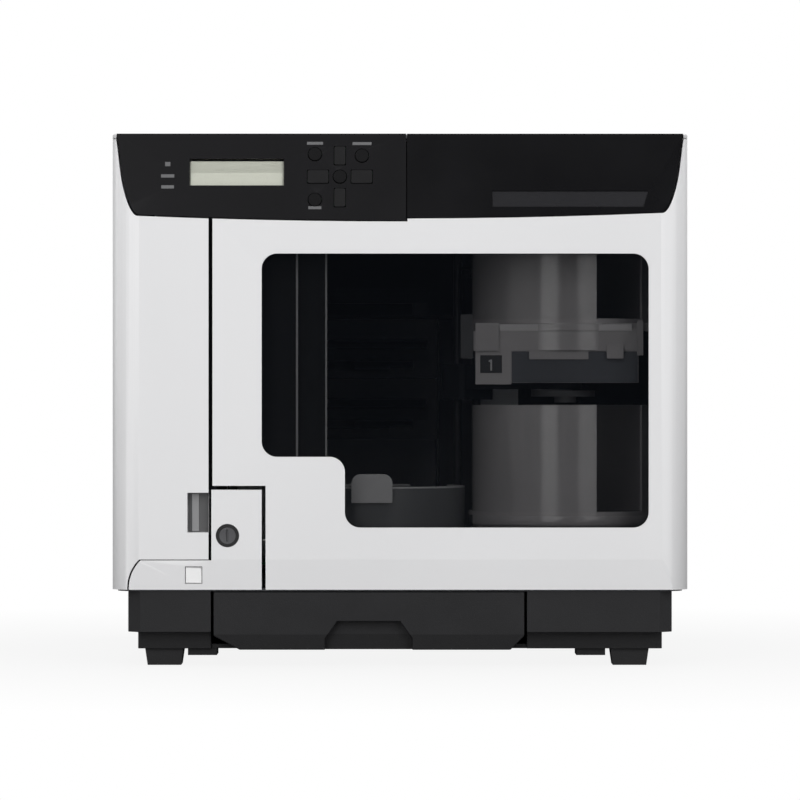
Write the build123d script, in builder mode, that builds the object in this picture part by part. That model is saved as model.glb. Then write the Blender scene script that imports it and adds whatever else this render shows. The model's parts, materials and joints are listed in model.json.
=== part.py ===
from build123d import *
import os
from math import atan2, cos, degrees, hypot, radians, sin, sqrt

os.makedirs("parts", exist_ok=True)

# Disc label printer: a desktop cabinet with a hinged door and ink cover, two disc stackers
# one above the other, a low stacker, a swinging and lifting disc arm, two disc drives, a
# printer with a sliding head, and a drawer in its base.
# Frame: +X to the right seen from the front, +Y to the back, +Z up, origin on the floor
# under the middle of the cabinet. Millimetres.

# ---- Cabinet -------------------------------------------------------------------------
width = 377.0
depth = 465.0
height = 348.0
front_corner_r = 18.3
rear_corner_r = 6.0
wall = 3.2              # plastic skin
seam = 0.6              # between fixed skins
door_gap = 2.6          # between the door and its neighbours
fit_gap = 0.3           # between pieces that sit side by side
run_gap = 0.05          # radial, shaft in bush
half_w = width / 2
front_y = -depth / 2
rear_y = depth / 2
inner_front_y = front_y + wall
inner_x = half_w - wall

# ---- Base ----------------------------------------------------------------------------
base_w = width - 21.0
base_front_setback = 4.0
base_rear_setback = 7.5
base_top = 48.8
base_wall = 3.0
base_facet = 8.0        # front corner facets
belly_w = base_w - 13.0    # the narrower lower part
belly_top = 22.0
belly_bottom = 11.0
belly_setback = 8.0     # how far the lower front leans back
foot_w = 25.0
foot_d = 30.0
foot_taper = 8.0        # degrees
base_y0 = front_y + base_front_setback
base_y1 = rear_y - base_rear_setback
foot_xs = (23.5 - base_w / 2, base_w / 2 - 27.5)
foot_ys = (base_y0 + 25.5, base_y1 - 30.0)
lug_w = 19.0
lug_h = 4.5
lug_xs = (48.5 - base_w / 2, base_w / 2 - 53.0)

# ---- Deck and skins ------------------------------------------------------------------
deck_t = 2.0
skin_lift = 1.0         # the white skins start this far above the base
deck_top = base_top + deck_t
skin_z0 = base_top + skin_lift
lid_t = 3.0
lid_skirt = 15.0
lid_edge_r = 1.2
side_return = 14.0      # the side panels wrap this far round the rear corners
lid_z0 = height - lid_t
skirt_z0 = lid_z0 - lid_skirt
bevel_h = 19.8          # lower band of the front that leans back
bevel_lean = 1.8
bevel_z1 = skin_z0 + bevel_h

# ---- Door and ink cover --------------------------------------------------------------
knuckle_r = 5.0
hinge_y = front_y + 29.5
pin_r = 2.0
pin_depth = 11.0
side_gap = 1.0          # from the knuckle to the side panel
hinge_x = half_w - knuckle_r
panel_front_y = hinge_y + knuckle_r + side_gap
knuckle_relief = 1.4    # knuckle starts this far above the skin's lower edge
split_x = 64.8 - half_w    # middle of the seam between ink cover and door
door_x0 = split_x + door_gap / 2
cover_x1 = split_x - door_gap / 2

# ---- Control band ----------------------------------------------------------------------
band_lean = 0.154       # set back per unit of height
band_arc_r = 4000.0
band_left_z = height - 56.9    # lower edge at the middle of the cabinet
band_right_z = height - 55.0
band_split_x = 192.5 - half_w
band_step = 1.2         # right panel lies behind the left one
fascia_t = 3.0
fascia_return = (7.6, 16.0)    # strip along the top, behind the front
band_gap = 0.9
lcd_x = (51.1 - half_w, 112.6 - half_w)
lcd_z = (band_left_z + 22.8, band_left_z + 40.4)
lcd_recess = 2.6
lcd_pane_t = 1.0
lcd_glass_t = 0.6
lcd_module_t = 2.6
lcd_module_lip = 3.0
slot_x = (half_w - 128.3, half_w - 26.2)    # smoked status window
slot_z = (band_right_z + 6.9, band_right_z + 17.3)
slot_slant = 3.0
slot_depth = 2.0
slot_pane_t = 1.2
slot_fit = 0.2
lamp_x = 36.7 - half_w
lamp_zs = (band_left_z + 36.8, band_left_z + 29.0, band_left_z + 21.8)
lamp_r = 1.1
lamp_proud = 0.1
boss_w = 6.0
boss_h = 5.0
boss_xs = {-1: (23.5 - half_w, lcd_x[1] + 3.9, band_split_x - 12.0),
           1: (band_split_x + 8.0, band_split_x + 86.0, half_w - 23.5)}
boss_zs = {-1: band_left_z + 5.9, 1: band_right_z + 7.0}

# ---- Keys: name, x, z and size (radius, or width and height) ----------------------------
round_key_r = 4.4
bar_key = (7.2, 12.0)
side_key = (13.6, 8.5)
cross_x = 149.2 - half_w
cross_z = band_left_z + 28.5
bar_step = 13.8
side_step = 14.3
round_keys = {"key_menu": (cross_x - 16.3, cross_z + 14.8),
              "key_cancel": (cross_x + 14.4, cross_z + bar_step),
              "key_ok": (cross_x, cross_z), "key_info": (cross_x - 16.3, cross_z - 15.2)}
cross_keys = {"key_up": (cross_x, cross_z + bar_step, bar_key),
              "key_down": (cross_x, cross_z - bar_step, bar_key),
              "key_left": (cross_x - side_step, cross_z, side_key),
              "key_right": (cross_x + side_step, cross_z, side_key)}
key_proud = 0.8
key_travel = 0.8
key_depth = 7.0
key_length = key_depth - 1.0
key_gap = 0.35
key_edge_r = 0.5
board_t = 1.6
board_size = (55.0, 46.0)
lamp_board_size = (14.0, 28.0)
board_post_r = 1.6
board_posts = [(x, z) for x in (cross_x - 25.7, cross_x + 24.8)
               for z in (cross_z - 19.6, cross_z + 19.4)]
board_posts += [(lamp_x - 5.2, lamp_zs[0]), (lamp_x + 5.2, lamp_zs[2])]

# ---- Corner panel ----------------------------------------------------------------------
corner_x1 = 98.2 - half_w
corner_z1 = skin_z0 + 65.3
corner_x0 = split_x + seam
corner_shelf_lift = 2.0
corner_shelf_d = 5.8
lock_xz = (75.9 - half_w, skin_z0 + 35.4)
lock_r = 7.6
lock_depth = 13.0
lock_inset = 0.2
lock_edge_r = 0.8
key_slot = (1.8, 8.0, 2.0)    # width, height, depth
cam_t = 2.0
cam_w = 8.0
cam_reach = 30.0
catch_w = 8.0
catch_h = 14.0
catch_gap = 0.5
cam_tail = 5.0
power_xz = (53.8 - half_w, skin_z0 + 9.6)
power_size = 10.6
power_recess = 2.0
power_collar = 2.0
power_collar_depth = 5.0
power_length = wall + 7.0 - power_recess
power_edge_r = 0.8
recess_x0 = split_x - 15.1    # finger recess in the ink cover
recess_z = (skin_z0 + 37.4, skin_z0 + 63.4)
recess_depth = 9.0
recess_wall = wall / 2

# ---- Window ----------------------------------------------------------------------------
win_x = (corner_x1, half_w - 26.2)
win_z = (skin_z0 + 40.6, height - 78.7)
win_step_x = win_x[0] + 54.3
win_step_z = win_z[0] + 46.2
win_r = 10.0
pane_t = 2.0
pane_lip = 6.0
pane_inset = 0.6

# ---- Stackers and arm ------------------------------------------------------------------
well_r = 60.8           # for 120 mm discs
cup_wall = 1.7
cup_floor = 2.0
cup_flange = 2.5
cup_flange_h = 3.0
pair_x = half_w - 77.7     # upper and lower stackers
single_x = pair_x - 129.8  # low stacker
stack_y = front_y + 92.5
lower_z0 = deck_top + 46.2
lower_rim = lower_z0 + 73.4
upper_z0 = lower_rim + 54.0
upper_rim = upper_z0 + 75.6
single_rim = deck_top + 65.6
handle_x = (single_x - 13.0, single_x + 14.0)    # grip on the low stacker
handle_z = (single_rim - 10.4, single_rim + 8.5)
handle_proud = 3.5
handle_r = 6.0
front_slot = (17.5, 52.4)   # degrees from straight ahead, towards the right
arm_slot_w = 34.0
arm_hole_r = 24.0
mast_y = stack_y + 76.0
mast_x = (pair_x + single_x) / 2
arm_reach = hypot(pair_x - mast_x, stack_y - mast_y)
arm_angle = degrees(atan2(stack_y - mast_y, pair_x - mast_x))
rod_r = 3.0
rod_offset = 8.5
mast_shaft_r = 4.0
mast_plate_r = 15.0
mast_plate_t = 2.5
pulley_r = 17.0
pulley_h = 4.0
bush_h = 2.4
bush_r = 9.0
arm_z = (lower_rim + 3.6, lower_rim + 27.6)
arm_w = 22.0
arm_beam_z0 = arm_z[0] + 7.0
carriage_size = (24.0, 30.0, 4.0)    # with its corner radius
grip_r = 20.0
grip_t = 4.0
jaw_r = 7.2
arm_bottom = arm_z[0] - 2.0
housing_r = 13.5
housing_back = 14.0     # from the gripper's axis towards the mast
arm_low = 114.0
arm_high = 130.0

# ---- Shelf -----------------------------------------------------------------------------
shelf_t = 5.4
shelf_r = 65.0
seat_front_y = front_y + 28.5
seat_t = 4.0
pedestal_h = 6.0
pedestal_r = well_r + 2.0
pedestal_bore_r = well_r - 4.0
# Front of the shelf: x from and to, y from and to, z from and to, measured from the upper
# stacker's axis, the seat's front and the shelf's top.
shelf_front = (
    (-45.8, 42.2, 0.0, seat_t, -18.4, -0.6),      # ledge
    (-61.1, -45.8, -2.0, seat_t, -18.4, 0.0),     # left block
    (-25.8, 13.2, -1.0, seat_t - 1, -23.9, -18.4),    # tongue
    (25.2, 36.2, -3.0, 0.0, -23.4, -14.4),        # tab
    (45.2, 49.2, -2.0, seat_t, -21.4, 1.6),       # right post
    (42.2, 45.2, 0.0, seat_t, -18.4, -3.4),       # its link
    (-61.1, -37.5, 0.0, seat_t, -40.4, -18.4),    # number plate
    (-37.5, 46.2, 1.0, seat_t, -39.4, -18.4),     # lower face
    (-70.8, -62.8, 0.0, seat_t, -23.4, 5.6),      # left post
    (-62.8, -61.1, 0.0, seat_t, -18.4, -5.4),     # its link
)

# ---- Bay walls and front frame ---------------------------------------------------------
sheet = 1.5
bay_left_x = split_x - 0.3
bay_right_x = half_w - 12.3
bay_rear_x0 = (pair_x + single_x) / 2 + 36.0
bay_rear_y = mast_y + 34.0
bay_top = height - 5.0
flange_y = front_y + 19.0
flange_xs = (win_x[0] + 23.3, win_x[0] + 42.3)
flange_step = 4.0
flange_z = (win_step_z - 6.6, win_z[1] + 16.7)
frame_y = front_y + 14.0
frame_t = 4.0
frame_half_w = base_w / 2 - 1.0
frame_open_z = (deck_top + 9.2, win_z[1] + 14.7)
frame_post = 4.0
frame_keys_x = (lamp_x - 9.0, band_split_x - 14.0)    # left open for the key board
frame_keys_z0 = band_left_z + 2.9

# ---- Drives and printer ----------------------------------------------------------------
drive_x = single_x - 28.0
drive_y0 = mast_y + 106.0
drive_w = 146.0
drive_h = 41.3
drive_d = rear_y - 25.5 - drive_y0
drive_gap = 0.5
cage_setback = 3.0
drive_low_z0 = height - 200.5
drive_z0s = (drive_low_z0, drive_low_z0 + drive_h + drive_gap)
tray_w = 130.0
tray_t = 5.0
tray_len = 146.0
tray_up = 14.0          # tray's underside above the drive's
tray_travel = 140.0
tray_bezel = (134.0, 9.0, 3.0)
disc_r = 60.4
tray_hole_r = 18.0
tray_recess = 1.8
tray_cut = 52.4         # the spindle opening runs this far back
tray_space = 8.0        # free height above and below a tray
tray_side = 1.0
rail_w = 10.0
rail_in = 4.0           # from the tray's edge to the rail's middle
spindle_r = 14.0
eject_key = (14.0, 1.2, 4.0)    # width, how proud, height
eject_x = drive_x + 47.0
pick_y = mast_y + sqrt(arm_reach**2 - (mast_x - drive_x)**2)
printer_x = (drive_x - 74.0, drive_x + 147.0)
printer_y = (drive_y0 + 18.0, rear_y - 18.5)
printer_z = (drive_low_z0 + 85.1, height - 16.0)
rail_r = 4.0
rail_y = printer_y[0] + 90.0
rail_z = printer_z[0] + 63.4
head_w = 52.0
head_y = (printer_y[0] + 36.0, printer_y[0] + 104.0)
head_z = (printer_z[0] + 35.4, printer_z[0] + 79.4)
head_park_x = printer_x[1] - 34.0
head_travel = 150.0
head_edge_r = 3.0
nozzle_inset = (10.0, 8.0)
nozzle_size = (32.0, 6.0)    # depth and how far it hangs down
print_tray_up = 12.0
print_rail_len = 130.0
print_tray_lead = 2.0

# ---- Drawer ----------------------------------------------------------------------------
drawer_x = (single_x - 102.8, single_x + 100.2)
drawer_gap = 1.8
drawer_y1 = stack_y + 66.0
drawer_half_w = 90.0
drawer_floor_z = belly_bottom + 4.0
drawer_wall_h = 26.0
drawer_wall = 2.5
drawer_bottom = 10.5
drawer_chamfer = 9.0
drawer_cuts = (17.0, 9.0)    # how far the lower corners are cut in, left and right
pull_top = (single_x - 22.0, single_x + 19.0, 29.3)
pull_bottom = (single_x - 30.0, single_x + 27.0, 17.6)
pull_depth = 8.0
drawer_front_t = 10.5

# ---- Power, fan and connectors ---------------------------------------------------------
psu_x = (half_w - 96.5, half_w - 10.5)
psu_y = (rear_y - 172.5, rear_y - 42.5)
psu_h = 58.0
psu_edge_r = 1.5
fan_xz = (half_w - 53.5, height - 62.0)
fan_size = 60.0
fan_t = 12.0
fan_corner_r = 4.0
fan_spider_t = 2.0
fan_spider_w = 4.0
fan_pin_r = 2.0
fan_pin_l = 4.0
fan_hub_r = 13.0
fan_blade_r = 27.0
fan_blades = 7
fan_blade_size = (1.2, 9.0)    # thickness, width
fan_pitch = 35.0        # degrees
inlet_xz = (half_w - 38.5, deck_top + 29.2)
inlet_size = (27.0, 20.0)
inlet_depth = 22.0
inlet_lip = 3.0
inlet_lip_t = 2.0
inlet_well = (24.0, 16.0, 16.0)    # width, height, depth
inlet_pins = ((-7.0, -2.0), (0.0, 2.0), (7.0, -2.0))
inlet_pin_size = (2.0, 4.0, 7.0)    # width, height, how far its end lies inside
entry_fit = 0.2
rocker_xz = (half_w - 70.5, inlet_xz[1])
rocker_size = (14.0, 20.0)
rocker_pin_r = 1.2
rocker_depth = 10.0
rocker_wall = (0.8, 1.5)    # sides, back
rocker_side = 1.2
board_x = (drive_x - 65.0, drive_x + 63.0)
board_y = (drive_y0 + 18.0, rear_y - 20.5)
board_up = 6.0
board_foot_r = 3.0
board_foot_in = 5.0
# On the main board: x and y from the lower drive's middle and front, then the three sizes.
chips = ((-23.0, 68.0, 34.0, 34.0, 4.0), (27.0, 68.0, 22.0, 22.0, 3.0),
         (27.0, 118.0, 16.0, 40.0, 10.0), (-28.0, 118.0, 40.0, 12.0, 8.0))
port_up = 8.0
port_depth = 18.0
port_fit = 0.2
port_wall = 1.0
port_back = 4.0
port_specs = ((drive_x - 49.0, 12.0, 11.0), (drive_x - 25.0, 16.0, 14.0))   # x, width, height
rear_sheet_y = rear_y - wall
vent_xz = (drive_x - 13.0, height - 58.0)
vent_slot = (46.0, 3.4)
vent_pitch = 9.0
vent_count = 10
screw_r = 3.4
screw_h = 2.0
screw_cross = (1.0, 4.4, 0.8)    # width, length, depth
screw_xs = (28.5 - half_w, 0.0, half_w - 28.5)
screw_zs = (deck_top + 7.2, height - 28.0)

# ---- Ink -------------------------------------------------------------------------------
ink_count = 6
ink_w = 44.0
ink_h = 24.0
ink_pitch = 34.0
ink_z0 = deck_top + 27.2
ink_x0 = 10.5 - half_w
ink_y = (front_y + 32.5, front_y + 142.5)
ink_rail_y0 = ink_y[0] + 20.0
ink_back_t = 14.0
ink_side_drop = 6.0
ink_grip = (12.0, 4.0, 6.0)    # inset at the sides, at top and bottom, and how proud

front_plane = Plane.XZ.offset(-front_y)      # local x, y are X and Z; +normal is to the front

# ---- Mast, its bearings and its drive ---------------------------------------------------
mast_shaft_gap = 0.2
mast_top_drop = 14.0    # from the lid to the mast's upper plate
top_bush_h = 8.0
motor_xy = (mast_x + 32.1, mast_y + 68.0)
motor_pulley_r = 8.0
motor_shaft_r = 2.5
motor_plate = (36.0, 2.0)    # side and thickness
motor_post_in = 3.0
motor_post_r = 2.5
motor_can_r = 16.0
motor_can_h = 28.0
motor_bore_h = 20.0
motor_lift = 3.0        # plate above the pulley
belt_t = 1.2
belt_gap = 0.1
belt_edge = 0.6         # pulley left bare above and below the belt


def block(x0, x1, y0, y1, z0, z1, mode=Mode.ADD):
    """A box between two corners."""
    with Locations(((x0 + x1) / 2, (y0 + y1) / 2, (z0 + z1) / 2)):
        Box(x1 - x0, y1 - y0, z1 - z0, mode=mode)


def post(x, y, z0, z1, radius, mode=Mode.ADD):
    """An upright cylinder."""
    with Locations((x, y, (z0 + z1) / 2)):
        Cylinder(radius, z1 - z0, mode=mode)


def peg(x, z, y0, y1, radius, mode=Mode.ADD):
    """A cylinder that lies along Y."""
    with Locations((x, (y0 + y1) / 2, z)):
        Cylinder(radius, y1 - y0, rotation=(90, 0, 0), mode=mode)


def keep(builder, name):
    """Name a finished piece and write it."""
    builder.part.label = name
    export_step(builder.part, "parts/" + name + ".step")


def band_edge(x, z_middle):
    """Height of the band's lower edge: a shallow arc, lowest at the middle."""
    return z_middle + band_arc_r - sqrt(band_arc_r**2 - x**2)


def band_side(z, z_corner):
    """Half width of the band at a height, where its leaning plane leaves the corner."""
    reach = front_corner_r - (z - z_corner) * band_lean
    return half_w - front_corner_r + sqrt(max(front_corner_r**2 - reach**2, 0.0))


def band_points(side, z_middle, grow):
    """Points up the band's outer edge, from its lower corner to the cabinet's top."""
    z_corner = band_edge(half_w - front_corner_r, z_middle)
    rises = (0.0, 0.5, 2.5, 9.0, 24.0, height - z_corner)
    return [(side * (band_side(z_corner + rise, z_corner) + grow), z_corner + rise - grow)
            for rise in rises]


def band_face(side, z_middle, x_end, grow=0.0):
    """The band's outline seen from the front, on one side of x_end, grown for clearance."""
    points = band_points(side, z_middle, grow)
    corner_x = side * (half_w - front_corner_r)
    middle_x = (corner_x + x_end) / 2
    with BuildSketch(front_plane) as sketch:
        with BuildLine():
            ThreePointArc((x_end, band_edge(x_end, z_middle) - grow),
                          (middle_x, band_edge(middle_x, z_middle) - grow),
                          (corner_x, band_edge(corner_x, z_middle) - grow))
            if grow:
                Line((corner_x, points[0][1]), points[0])
                Line(points[-1], (points[-1][0], height))
            Spline(points)
            Polyline((points[-1][0], height), (x_end, height),
                     (x_end, band_edge(x_end, z_middle) - grow))
        make_face()
    return sketch.sketch


def leaning_plane(set_back, z_ref):
    """The plane of the control band, set back from the cabinet's front."""
    return Plane(origin=(0, front_y + set_back, z_ref), x_dir=(1, 0, 0), z_dir=(0, -1, band_lean))


left_plane = leaning_plane(0.1, band_left_z)
right_plane = leaning_plane(0.1 + band_step, band_left_z)
slope = sqrt(1 + band_lean**2)


def on_band(x, z):
    """A point of the leaning plane in that plane's own coordinates."""
    return x, (z - band_left_z) * slope


# ---- Shared outlines -------------------------------------------------------------------
with BuildSketch() as outline:
    Rectangle(width, depth)
    fillet(outline.vertices().group_by(Axis.Y)[0], front_corner_r)
    fillet(outline.vertices().group_by(Axis.Y)[-1], rear_corner_r)

with BuildSketch() as skin:
    add(outline.sketch)
    offset(amount=-wall, mode=Mode.SUBTRACT)

with BuildSketch() as inside:
    add(outline.sketch)
    offset(amount=-(wall + fit_gap))

left_band = band_face(-1, band_left_z, band_split_x)
band_top_half = band_side(height, band_edge(half_w - front_corner_r, band_right_z))
right_band = band_face(1, band_right_z, band_split_x)

with BuildSketch(front_plane) as band_opening:
    add(band_face(-1, band_left_z, band_split_x + band_gap, band_gap))
    add(band_face(1, band_right_z, band_split_x, band_gap))

with BuildSketch(front_plane) as window_outline:
    with BuildLine():
        Polyline((win_x[0], win_step_z), (win_step_x, win_step_z), (win_step_x, win_z[0]),
                 (win_x[1], win_z[0]), (win_x[1], win_z[1]), (win_x[0], win_z[1]), close=True)
    make_face()
    fillet(window_outline.vertices(), win_r)

# The lower band of the front leans back: everything in front of this plane is cut away.
bevel_plane = Plane(origin=(0, front_y, bevel_z1), x_dir=(1, 0, 0),
                    z_dir=(0, -bevel_h, -bevel_lean))


# ---- Base and deck ---------------------------------------------------------------------
belly_half = belly_w / 2
bay_x = (single_x - drawer_half_w - fit_gap, single_x + drawer_half_w + fit_gap)
opening_x = (drawer_x[0] - drawer_gap, drawer_x[1] + drawer_gap)

with BuildPart() as base_frame:
    block(-base_w / 2, base_w / 2, base_y0, base_y1, belly_top, base_top)
    chamfer(base_frame.edges().filter_by(Axis.Z).group_by(Axis.Y)[0], base_facet)
    block(-belly_half, belly_half, base_y0 + belly_setback, base_y1, belly_bottom, belly_top)
    block(-belly_half + base_wall, belly_half - base_wall, base_y0 + belly_setback + base_wall,
          base_y1 - base_wall, belly_bottom + base_wall, base_top, Mode.SUBTRACT)
    block(opening_x[0], opening_x[1], base_y0, base_y0 + belly_setback + base_wall,
          belly_bottom, base_top, Mode.SUBTRACT)
    for inner, outer in ((bay_x[0], bay_x[0] - base_wall), (bay_x[1], bay_x[1] + base_wall)):
        block(min(inner, outer), max(inner, outer), base_y0 + belly_setback + base_wall,
              drawer_y1, belly_bottom + base_wall, base_top)
    for lug_x in lug_xs:
        block(lug_x - lug_w / 2, lug_x + lug_w / 2, foot_ys[0] - foot_d / 2,
              foot_ys[0] + foot_d / 2, belly_bottom - lug_h, belly_bottom)
keep(base_frame, "base_frame")

with BuildPart() as rubber_feet:
    with BuildSketch(Plane.XY.offset(belly_bottom)):
        for foot_x in foot_xs:
            for foot_y in foot_ys:
                with Locations((foot_x, foot_y)):
                    Rectangle(foot_w, foot_d)
    extrude(amount=-belly_bottom, taper=foot_taper)
keep(rubber_feet, "rubber_feet")

with BuildPart() as deck_plate:
    with BuildSketch(Plane.XY.offset(base_top)):
        add(inside.sketch)
        with Locations((single_x, stack_y)):
            Circle(well_r, mode=Mode.SUBTRACT)
        with Locations((-hinge_x, hinge_y), (hinge_x, hinge_y)):
            Circle(pin_r + run_gap, mode=Mode.SUBTRACT)
    extrude(amount=deck_t)
keep(deck_plate, "deck_plate")

# ---- Outer skins -----------------------------------------------------------------------
for side, name in ((-1, "left_side_panel"), (1, "right_side_panel")):
    with BuildPart() as side_panel:
        with BuildSketch(Plane.XY.offset(skin_z0)):
            add(skin.sketch)
            with Locations((side * (half_w - side_return / 2), (panel_front_y + rear_y) / 2)):
                Rectangle(side_return, rear_y - panel_front_y, mode=Mode.INTERSECT)
        extrude(amount=skirt_z0 - seam - skin_z0)
    keep(side_panel, name)

with BuildPart() as top_cover:
    with BuildSketch(Plane.XY.offset(lid_z0)):
        add(outline.sketch)
        with Locations((0, front_y)):
            Rectangle(2 * (band_top_half + fit_gap), 2 * (front_corner_r - 1.8), mode=Mode.SUBTRACT)
    extrude(amount=lid_t)
    with BuildSketch(Plane.XY.offset(skirt_z0)):
        add(skin.sketch)
        with Locations((0, front_y)):
            Rectangle(width, 2 * (panel_front_y - front_y), mode=Mode.SUBTRACT)
    extrude(amount=lid_skirt)
    fillet(top_cover.faces().sort_by(Axis.Z)[-1].edges().filter_by(Axis.Y), lid_edge_r)
    for pin_x in (-hinge_x, hinge_x):
        post(pin_x, hinge_y, lid_z0, lid_z0 + lid_t / 2, pin_r + run_gap, Mode.SUBTRACT)
keep(top_cover, "top_cover")

with BuildPart() as rear_panel:
    block(-inner_x + wall, inner_x - wall, rear_sheet_y - sheet, rear_sheet_y,
          deck_top, lid_z0 - fit_gap)
    peg(fan_xz[0], fan_xz[1], rear_sheet_y - sheet, rear_sheet_y, fan_blade_r, Mode.SUBTRACT)
    for x, z, size in ((*inlet_xz, inlet_size), (*rocker_xz, rocker_size)):
        block(x - size[0] / 2, x + size[0] / 2, rear_sheet_y - sheet, rear_sheet_y,
              z - size[1] / 2, z + size[1] / 2, Mode.SUBTRACT)
    for port_x, port_w, port_h in port_specs:
        block(port_x - port_w / 2, port_x + port_w / 2, rear_sheet_y - sheet, rear_sheet_y,
              deck_top + port_up, deck_top + port_up + port_h, Mode.SUBTRACT)
    with BuildSketch(Plane.XZ.offset(-rear_sheet_y)):
        with Locations(vent_xz):
            with GridLocations(vent_pitch, 1, vent_count, 1):
                SlotOverall(*vent_slot, rotation=90)
    extrude(amount=sheet, mode=Mode.SUBTRACT)
    fillet(rear_panel.edges().filter_by(Axis.Y).group_by(Axis.Z)[-1], rear_corner_r)
keep(rear_panel, "rear_panel")

# ---- Door ------------------------------------------------------------------------------
skin_top = lid_z0 - seam
notch_x = corner_x1 + door_gap
notch_z = corner_z1 + door_gap

with BuildPart() as door_panel:
    with BuildSketch(Plane.XY.offset(skin_z0)):
        add(skin.sketch)
        with Locations(((door_x0 + half_w) / 2, (front_y + hinge_y) / 2)):
            Rectangle(half_w - door_x0, hinge_y - front_y, mode=Mode.INTERSECT)
    extrude(amount=skin_top - skin_z0)
    post(hinge_x, hinge_y, skin_z0, skin_top, knuckle_r)
    with BuildSketch(front_plane):
        add(band_opening.sketch)
    extrude(amount=-front_corner_r, mode=Mode.SUBTRACT)
    with BuildSketch(front_plane):
        add(window_outline.sketch)
    extrude(amount=-wall, mode=Mode.SUBTRACT)
    block(door_x0, notch_x, front_y, inner_front_y, skin_z0, notch_z, Mode.SUBTRACT)
    block(hinge_x - 2 * knuckle_r, half_w, hinge_y - 2 * knuckle_r, hinge_y + knuckle_r,
          skin_z0, skin_z0 + knuckle_relief, Mode.SUBTRACT)
    for z in (skin_z0, skin_top - pin_depth):
        post(hinge_x, hinge_y, z, z + pin_depth + knuckle_relief, pin_r + run_gap, Mode.SUBTRACT)
    block(notch_x, notch_x + catch_w, inner_front_y, front_y + lock_depth - catch_gap,
          lock_xz[1] - catch_h / 2, lock_xz[1] + catch_h / 2)
    split(bisect_by=bevel_plane, keep=Keep.BOTTOM)
keep(door_panel, "door_panel")

with BuildPart() as door_window:
    with BuildSketch(Plane.XZ.offset(-inner_front_y)):
        add(window_outline.sketch)
        offset(amount=pane_lip)
    extrude(amount=-pane_t)
    with BuildSketch(Plane.XZ.offset(-inner_front_y)):
        add(window_outline.sketch)
        offset(amount=-fit_gap)
    extrude(amount=wall - pane_inset)
keep(door_window, "door_window")

with BuildPart() as hinge_pins:
    for pin_x in (-hinge_x, hinge_x):
        post(pin_x, hinge_y, base_top, skin_z0 + pin_depth, pin_r)
        post(pin_x, hinge_y, skin_top - pin_depth + knuckle_relief, lid_z0 + lid_t / 2, pin_r)
keep(hinge_pins, "hinge_pins")

# ---- Ink cover -------------------------------------------------------------------------
corner_left = -(half_w - front_corner_r)
corner_foot_x = corner_left - 6.6    # where the seam beside the corner panel meets the floor edge
with BuildPart() as ink_cover:
    with BuildSketch(Plane.XY.offset(skin_z0)):
        add(skin.sketch)
        with Locations(((cover_x1 - half_w) / 2, (front_y + hinge_y) / 2)):
            Rectangle(half_w + cover_x1, hinge_y - front_y, mode=Mode.INTERSECT)
    extrude(amount=skin_top - skin_z0)
    post(-hinge_x, hinge_y, skin_z0, skin_top, knuckle_r)
    with BuildSketch(front_plane):
        add(band_opening.sketch)
    extrude(amount=-front_corner_r, mode=Mode.SUBTRACT)
    with BuildSketch(front_plane):
        with BuildLine():
            Polyline((cover_x1, skin_z0), (cover_x1, bevel_z1), (corner_left, bevel_z1))
            ThreePointArc((corner_left, bevel_z1), (corner_left - 5.2, bevel_z1 - 7),
                          (corner_foot_x - door_gap / 2, skin_z0))
            Line((corner_foot_x - door_gap / 2, skin_z0), (cover_x1, skin_z0))
        make_face()
    extrude(amount=-front_corner_r, mode=Mode.SUBTRACT)
    block(recess_x0, cover_x1, front_y, inner_front_y, recess_z[0], recess_z[1], Mode.SUBTRACT)
    block(recess_x0 - recess_wall, cover_x1, front_y + recess_depth,
          front_y + recess_depth + recess_wall, recess_z[0] - recess_wall, recess_z[1] + recess_wall)
    block(recess_x0 - recess_wall, recess_x0, inner_front_y, front_y + recess_depth,
          recess_z[0] - recess_wall, recess_z[1] + recess_wall)
    for z in (recess_z[0] - recess_wall, recess_z[1]):
        block(recess_x0, cover_x1, inner_front_y, front_y + recess_depth, z, z + recess_wall)
    block(-half_w, -hinge_x + 2 * knuckle_r, hinge_y - 2 * knuckle_r, hinge_y + knuckle_r,
          skin_z0, skin_z0 + knuckle_relief, Mode.SUBTRACT)
    for z in (skin_z0, skin_top - pin_depth):
        post(-hinge_x, hinge_y, z, z + pin_depth + knuckle_relief, pin_r + run_gap, Mode.SUBTRACT)
keep(ink_cover, "ink_cover")

# ---- Corner panel, lock and power button -------------------------------------------------
with BuildPart() as corner_panel:
    with BuildSketch(Plane.XY.offset(skin_z0)):
        add(skin.sketch)
        with Locations(((corner_x1 - half_w) / 2, front_y)):
            Rectangle(half_w + corner_x1, 2 * front_corner_r, mode=Mode.INTERSECT)
    extrude(amount=corner_z1 - skin_z0)
    with BuildSketch(front_plane):
        with BuildLine():
            Polyline((corner_foot_x - fit_gap, skin_z0), (corner_x1, skin_z0),
                     (corner_x1, corner_z1), (corner_x0, corner_z1),
                     (corner_x0, bevel_z1 - seam), (corner_left + 0.8, bevel_z1 - seam))
            ThreePointArc((corner_left + 0.8, bevel_z1 - seam), (corner_left - 4.2, bevel_z1 - 7.6),
                          (corner_foot_x - fit_gap, skin_z0))
        make_face()
    extrude(amount=-front_corner_r, mode=Mode.INTERSECT)
    split(bisect_by=bevel_plane, keep=Keep.BOTTOM)
    block(corner_x0, corner_x1, inner_front_y, inner_front_y + corner_shelf_d,
          skin_z0 + corner_shelf_lift, skin_z0 + corner_shelf_lift + wall)
    peg(lock_xz[0], lock_xz[1], front_y, front_y + wall, lock_r + run_gap, Mode.SUBTRACT)
    for grow, y0, mode in ((power_collar, inner_front_y, Mode.ADD), (key_gap, front_y, Mode.SUBTRACT)):
        half = power_size / 2 + grow
        block(power_xz[0] - half, power_xz[0] + half, y0, inner_front_y + power_collar_depth,
              power_xz[1] - half, power_xz[1] + half, mode)
keep(corner_panel, "corner_panel")

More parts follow.
